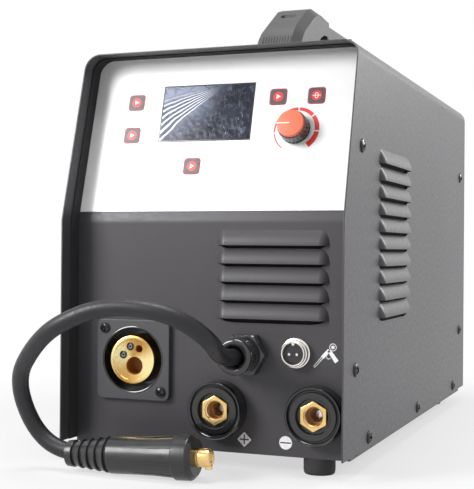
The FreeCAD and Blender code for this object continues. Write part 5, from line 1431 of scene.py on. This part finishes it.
class WELDER_OT_control_socket(Operator):
    """Turn the control socket's threaded ring and its two-pin insert"""
    bl_idname = "welder.control_socket"
    bl_label = "Control Socket"

    def execute(self, context):
        profile = [(7.5, 1.5), (7.5, 7.4), (7.8, 8), (8.7, 8), (9.1, 7.6), (9.1, 6.6), (9.9, 6.2)]
        for i in range(3):
            profile += [(10.1, 5.7 - 1.4 * i), (9.3, 5 - 1.4 * i)]
        profile += [(10.7, 1.6), (10.9, 1), (10.9, 0), (7.8, 0), (7.8, -12), (7.5, -12), (7.5, 1.5)]
        socket = with_nut([turned(profile, 56)], 20, -4.8, 7.9, "nickel", 30)
        fit(socket, "control_socket_ring", "nickel", "control_socket", at=CONTROL_SOCKET)
        insert = turned([(0, 1.5), (7.4, 1.5), (7.4, 5.3), (7.1, 5.6), (6.4, 5.6), (6.2, 5), (0, 5)], 44)
        key = soften(move(rod(1.3, 2, 7.7, 18), 0, 7), 0.25)
        parts = [paint(insert, "gloss black", 35), paint(key, "nickel")]
        for x in (-2.9, 2.9):
            pin = turned([(0, 4.5), (1.3, 4.5), (1.3, 7), (0.9, 7.6), (0, 7.7)], 20)
            parts.append(move(paint(pin, "steel", 35), x, -0.4))
        fit(join(*parts), "control_socket_core", "contact_black", "control_socket_insert",
            at=CONTROL_SOCKET)
        return {"FINISHED"}


class WELDER_OT_front_signs(Operator):
    """Print the plus, the minus and the torch picture beside their connectors"""
    bl_idname = "welder.front_signs"
    bl_label = "Front Signs"

    def execute(self, context):
        thick = 0.1
        wide, reach = 0.5, 3.6
        arms = [(-reach, -wide), (-wide, -wide), (-wide, -reach)]
        cross = arms + [(-z, x) for x, z in arms] + [(-x, -z) for x, z in arms] + [(z, -x) for x, z in arms]
        plate = move(prism(centred(3.9, 3.9, 0.9), 0, thick), turn=45)
        carve(plate, prism(cross, -1, 1))
        disc = carve(rod(4.8, 0, thick, 40), box((-4, -0.5, -1), (4, 0.5, 1)))

        # a spool torch as a plain picture: two-line neck, nozzle, body, handle, trigger and spool
        bars = ([[(x, z), (x + 0.35, z - 0.3), (x + 6.4, z + 6.8), (x + 6, z + 7.1)]
                 for x, z in ((81.2, 77.6), (82.2, 76.8))]
                + [[(80.9, 77.6), (82.3, 76.3), (83.2, 77.3), (81.8, 78.6)],
                   [(86.6, 84.6), (88.7, 82.9), (93.6, 88.4), (91.9, 90.2)],
                   [(91.4, 88.6), (94, 89.5), (99.6, 82.2), (97.2, 80.2)]])
        star = [on_circle(1.9 if i % 2 else 0.9, 30 * i) for i in range(12)]
        picture = [prism(bar, 0, thick) for bar in bars]
        picture += [move(slice_of_ring(1.7, 1.3, 1.3, 150, 330, 0, thick), 92.3, 84.6),
                    move(ring(2.7, 2.25, 0, thick, 28), 95.5, 91.4),
                    move(prism(star, 0, thick), 95.5, 91.4)]
        signs = join(move(plate, 29.3, 22.1), move(disc, 60.9, 21.8), *picture)
        fit(paint(signs, "ink white"), "front_signs", "overlay_white", at=(FRONT, 0, 0, 0.02))
        return {"FINISHED"}


class WELDER_OT_wire_spool(Operator):
    """Turn the wire spool, wind its wire and fit its hub and axle"""
    bl_idname = "welder.wire_spool"
    bl_label = "Wire Spool"

    def execute(self, context):
        edge = [(100, 24.9), (99.6, 24.5), (97, 24.5), (96.4, 25.1), (70, 25.1), (45, 24.5)]
        half = [(25.5, 27.5), (99.6, 27.5), (100, 27.1)] + edge
        spool = turned(half + [(r, -z) for r, z in reversed(half)] + [half[0]], 96)
        cutters = [move(rod(9, -30, 30), *on_circle(35.5, 60 * i)) for i in range(6)]
        cutters += [slice_of_ring(82, 58, 58, 90 * i + 20, 90 * i + 70, low, low + 5)
                    for i in range(4) for low in (24, -29)]
        carve(spool, *cutters)
        fit(paint(spool, "spool", 30), "spool_body", "spool_plastic", "wire_spool", body="spool", at=SPOOL)

        pitch, turns = 1.6, [(45.4, -24.1)]
        for low in (pitch * i - 24 for i in range(30)):
            turns += [(85.2, low), (85.85, low + 0.35 * pitch), (85.85, low + 0.65 * pitch)]
        wire = turned(turns + [(85.2, 24), (45.4, 24.1), (45.4, -24.1)], 96)
        fit(paint(wire, "copper", 70), "spool_wire", "copper_wire", "wire_winding", body="spool", at=SPOOL)
        take("spool_hub", "spool_brake_hub", "feeder", "spool_plastic", body="spool")
        take("hub_axle", "spool_axle", "steel", "zinc_steel")
        return {"FINISHED"}


class WELDER_OT_wire_feeder(Operator):
    """Fit the wire feeder: motor, plate, rolls, pressure arm and tension knob"""
    bl_idname = "welder.wire_feeder"
    bl_label = "Wire Feeder"

    def execute(self, context):
        take("feed_plate", "feeder_plate", "feeder", "feeder_plastic", 0.6)
        take("wire_feed_motor", "feeder_motor", "motor", "motor_metal", 0.8)
        take("drive_roll", "feeder_drive_roll", "steel", "zinc_steel", 0.5, "drive")
        take("idler_roll", "feeder_idler_roll", "steel", "zinc_steel", 0.5, "idler")
        take("pressure_arm", "feeder_arm", "feeder", "feeder_plastic", 0.5, "arm")
        take("tension_knob", "feeder_tension_knob", "tension", "tension_red", 0.6, "tension")
        return {"FINISHED"}


class WELDER_OT_power_side(Operator):
    """Fit the boards, the heatsink, the transformer and the fan"""
    bl_idname = "welder.power_side"
    bl_label = "Power Side"

    def execute(self, context):
        take("control_board", "display_board", "board", "board_green", 0.2)
        take("inverter_board", "power_board", "board", "board_green", 0.3)
        take("heatsink", "cooling_fins", "aluminium", "aluminium_fins", 0.2)
        take("transformer", "transformer_core", "core", "core_iron", 0.8)
        take("fan_frame", "fan_housing", "fan", "fan_plastic")
        take("fan_rotor", "fan_blades", "fan", "fan_plastic", 0.3, "fan")
        return {"FINISHED"}


class WELDER_OT_rear_fittings(Operator):
    """Fit the power switch with its rocker, and the gas inlet"""
    bl_idname = "welder.rear_fittings"
    bl_label = "Rear Fittings"

    def execute(self, context):
        take("power_switch", "switch_bezel", "gloss black", "switch_plastic", 0.5)
        take("switch_rocker", "switch_paddle", "rocker", "rocker_red", 0.5, "rocker")
        take("gas_inlet", "gas_hose_barb", "brass", "brass", 0.3)
        return {"FINISHED"}


OPERATORS = (WELDER_OT_studio, WELDER_OT_polarity_cable, WELDER_OT_case_cover, WELDER_OT_front_sheet,
             WELDER_OT_case_sheets, WELDER_OT_feet, WELDER_OT_case_screws, WELDER_OT_spool_door,
             WELDER_OT_carry_handle, WELDER_OT_control_overlay, WELDER_OT_display, WELDER_OT_keys,
             WELDER_OT_knob, WELDER_OT_torch_connector, WELDER_OT_current_sockets, WELDER_OT_glands,
             WELDER_OT_control_socket, WELDER_OT_front_signs, WELDER_OT_wire_spool, WELDER_OT_wire_feeder,
             WELDER_OT_power_side, WELDER_OT_rear_fittings)


class WELDER_PT_pieces(Panel):
    """The machine's pieces and their settings, in the sidebar"""
    bl_idname = "WELDER_PT_pieces"
    bl_label = "Welding Machine"
    bl_space_type = "VIEW_3D"
    bl_region_type = "UI"
    bl_category = "Welder"

    def draw(self, context):
        for group, kind in SETTINGS.items():
            part = self.layout.box()
            part.label(text=group.title())
            for key in kind.__annotations__:
                part.prop(settings_of(group), key)
        for kind in OPERATORS:
            self.layout.operator(kind.bl_idname)


def register():
    for kind in (*SETTINGS.values(), *OPERATORS, WELDER_PT_pieces):
        bpy.utils.register_class(kind)
    for group, kind in SETTINGS.items():
        setattr(bpy.types.Scene, "welder_" + group, PointerProperty(type=kind))


def unregister():
    for group in SETTINGS:
        delattr(bpy.types.Scene, "welder_" + group)
    for kind in (WELDER_PT_pieces, *reversed(OPERATORS), *SETTINGS.values()):
        bpy.utils.unregister_class(kind)


def main():
    register()
    for kind in OPERATORS:
        getattr(bpy.ops.welder, kind.bl_idname.split(".")[1])()


if __name__ == "__main__":
    main()
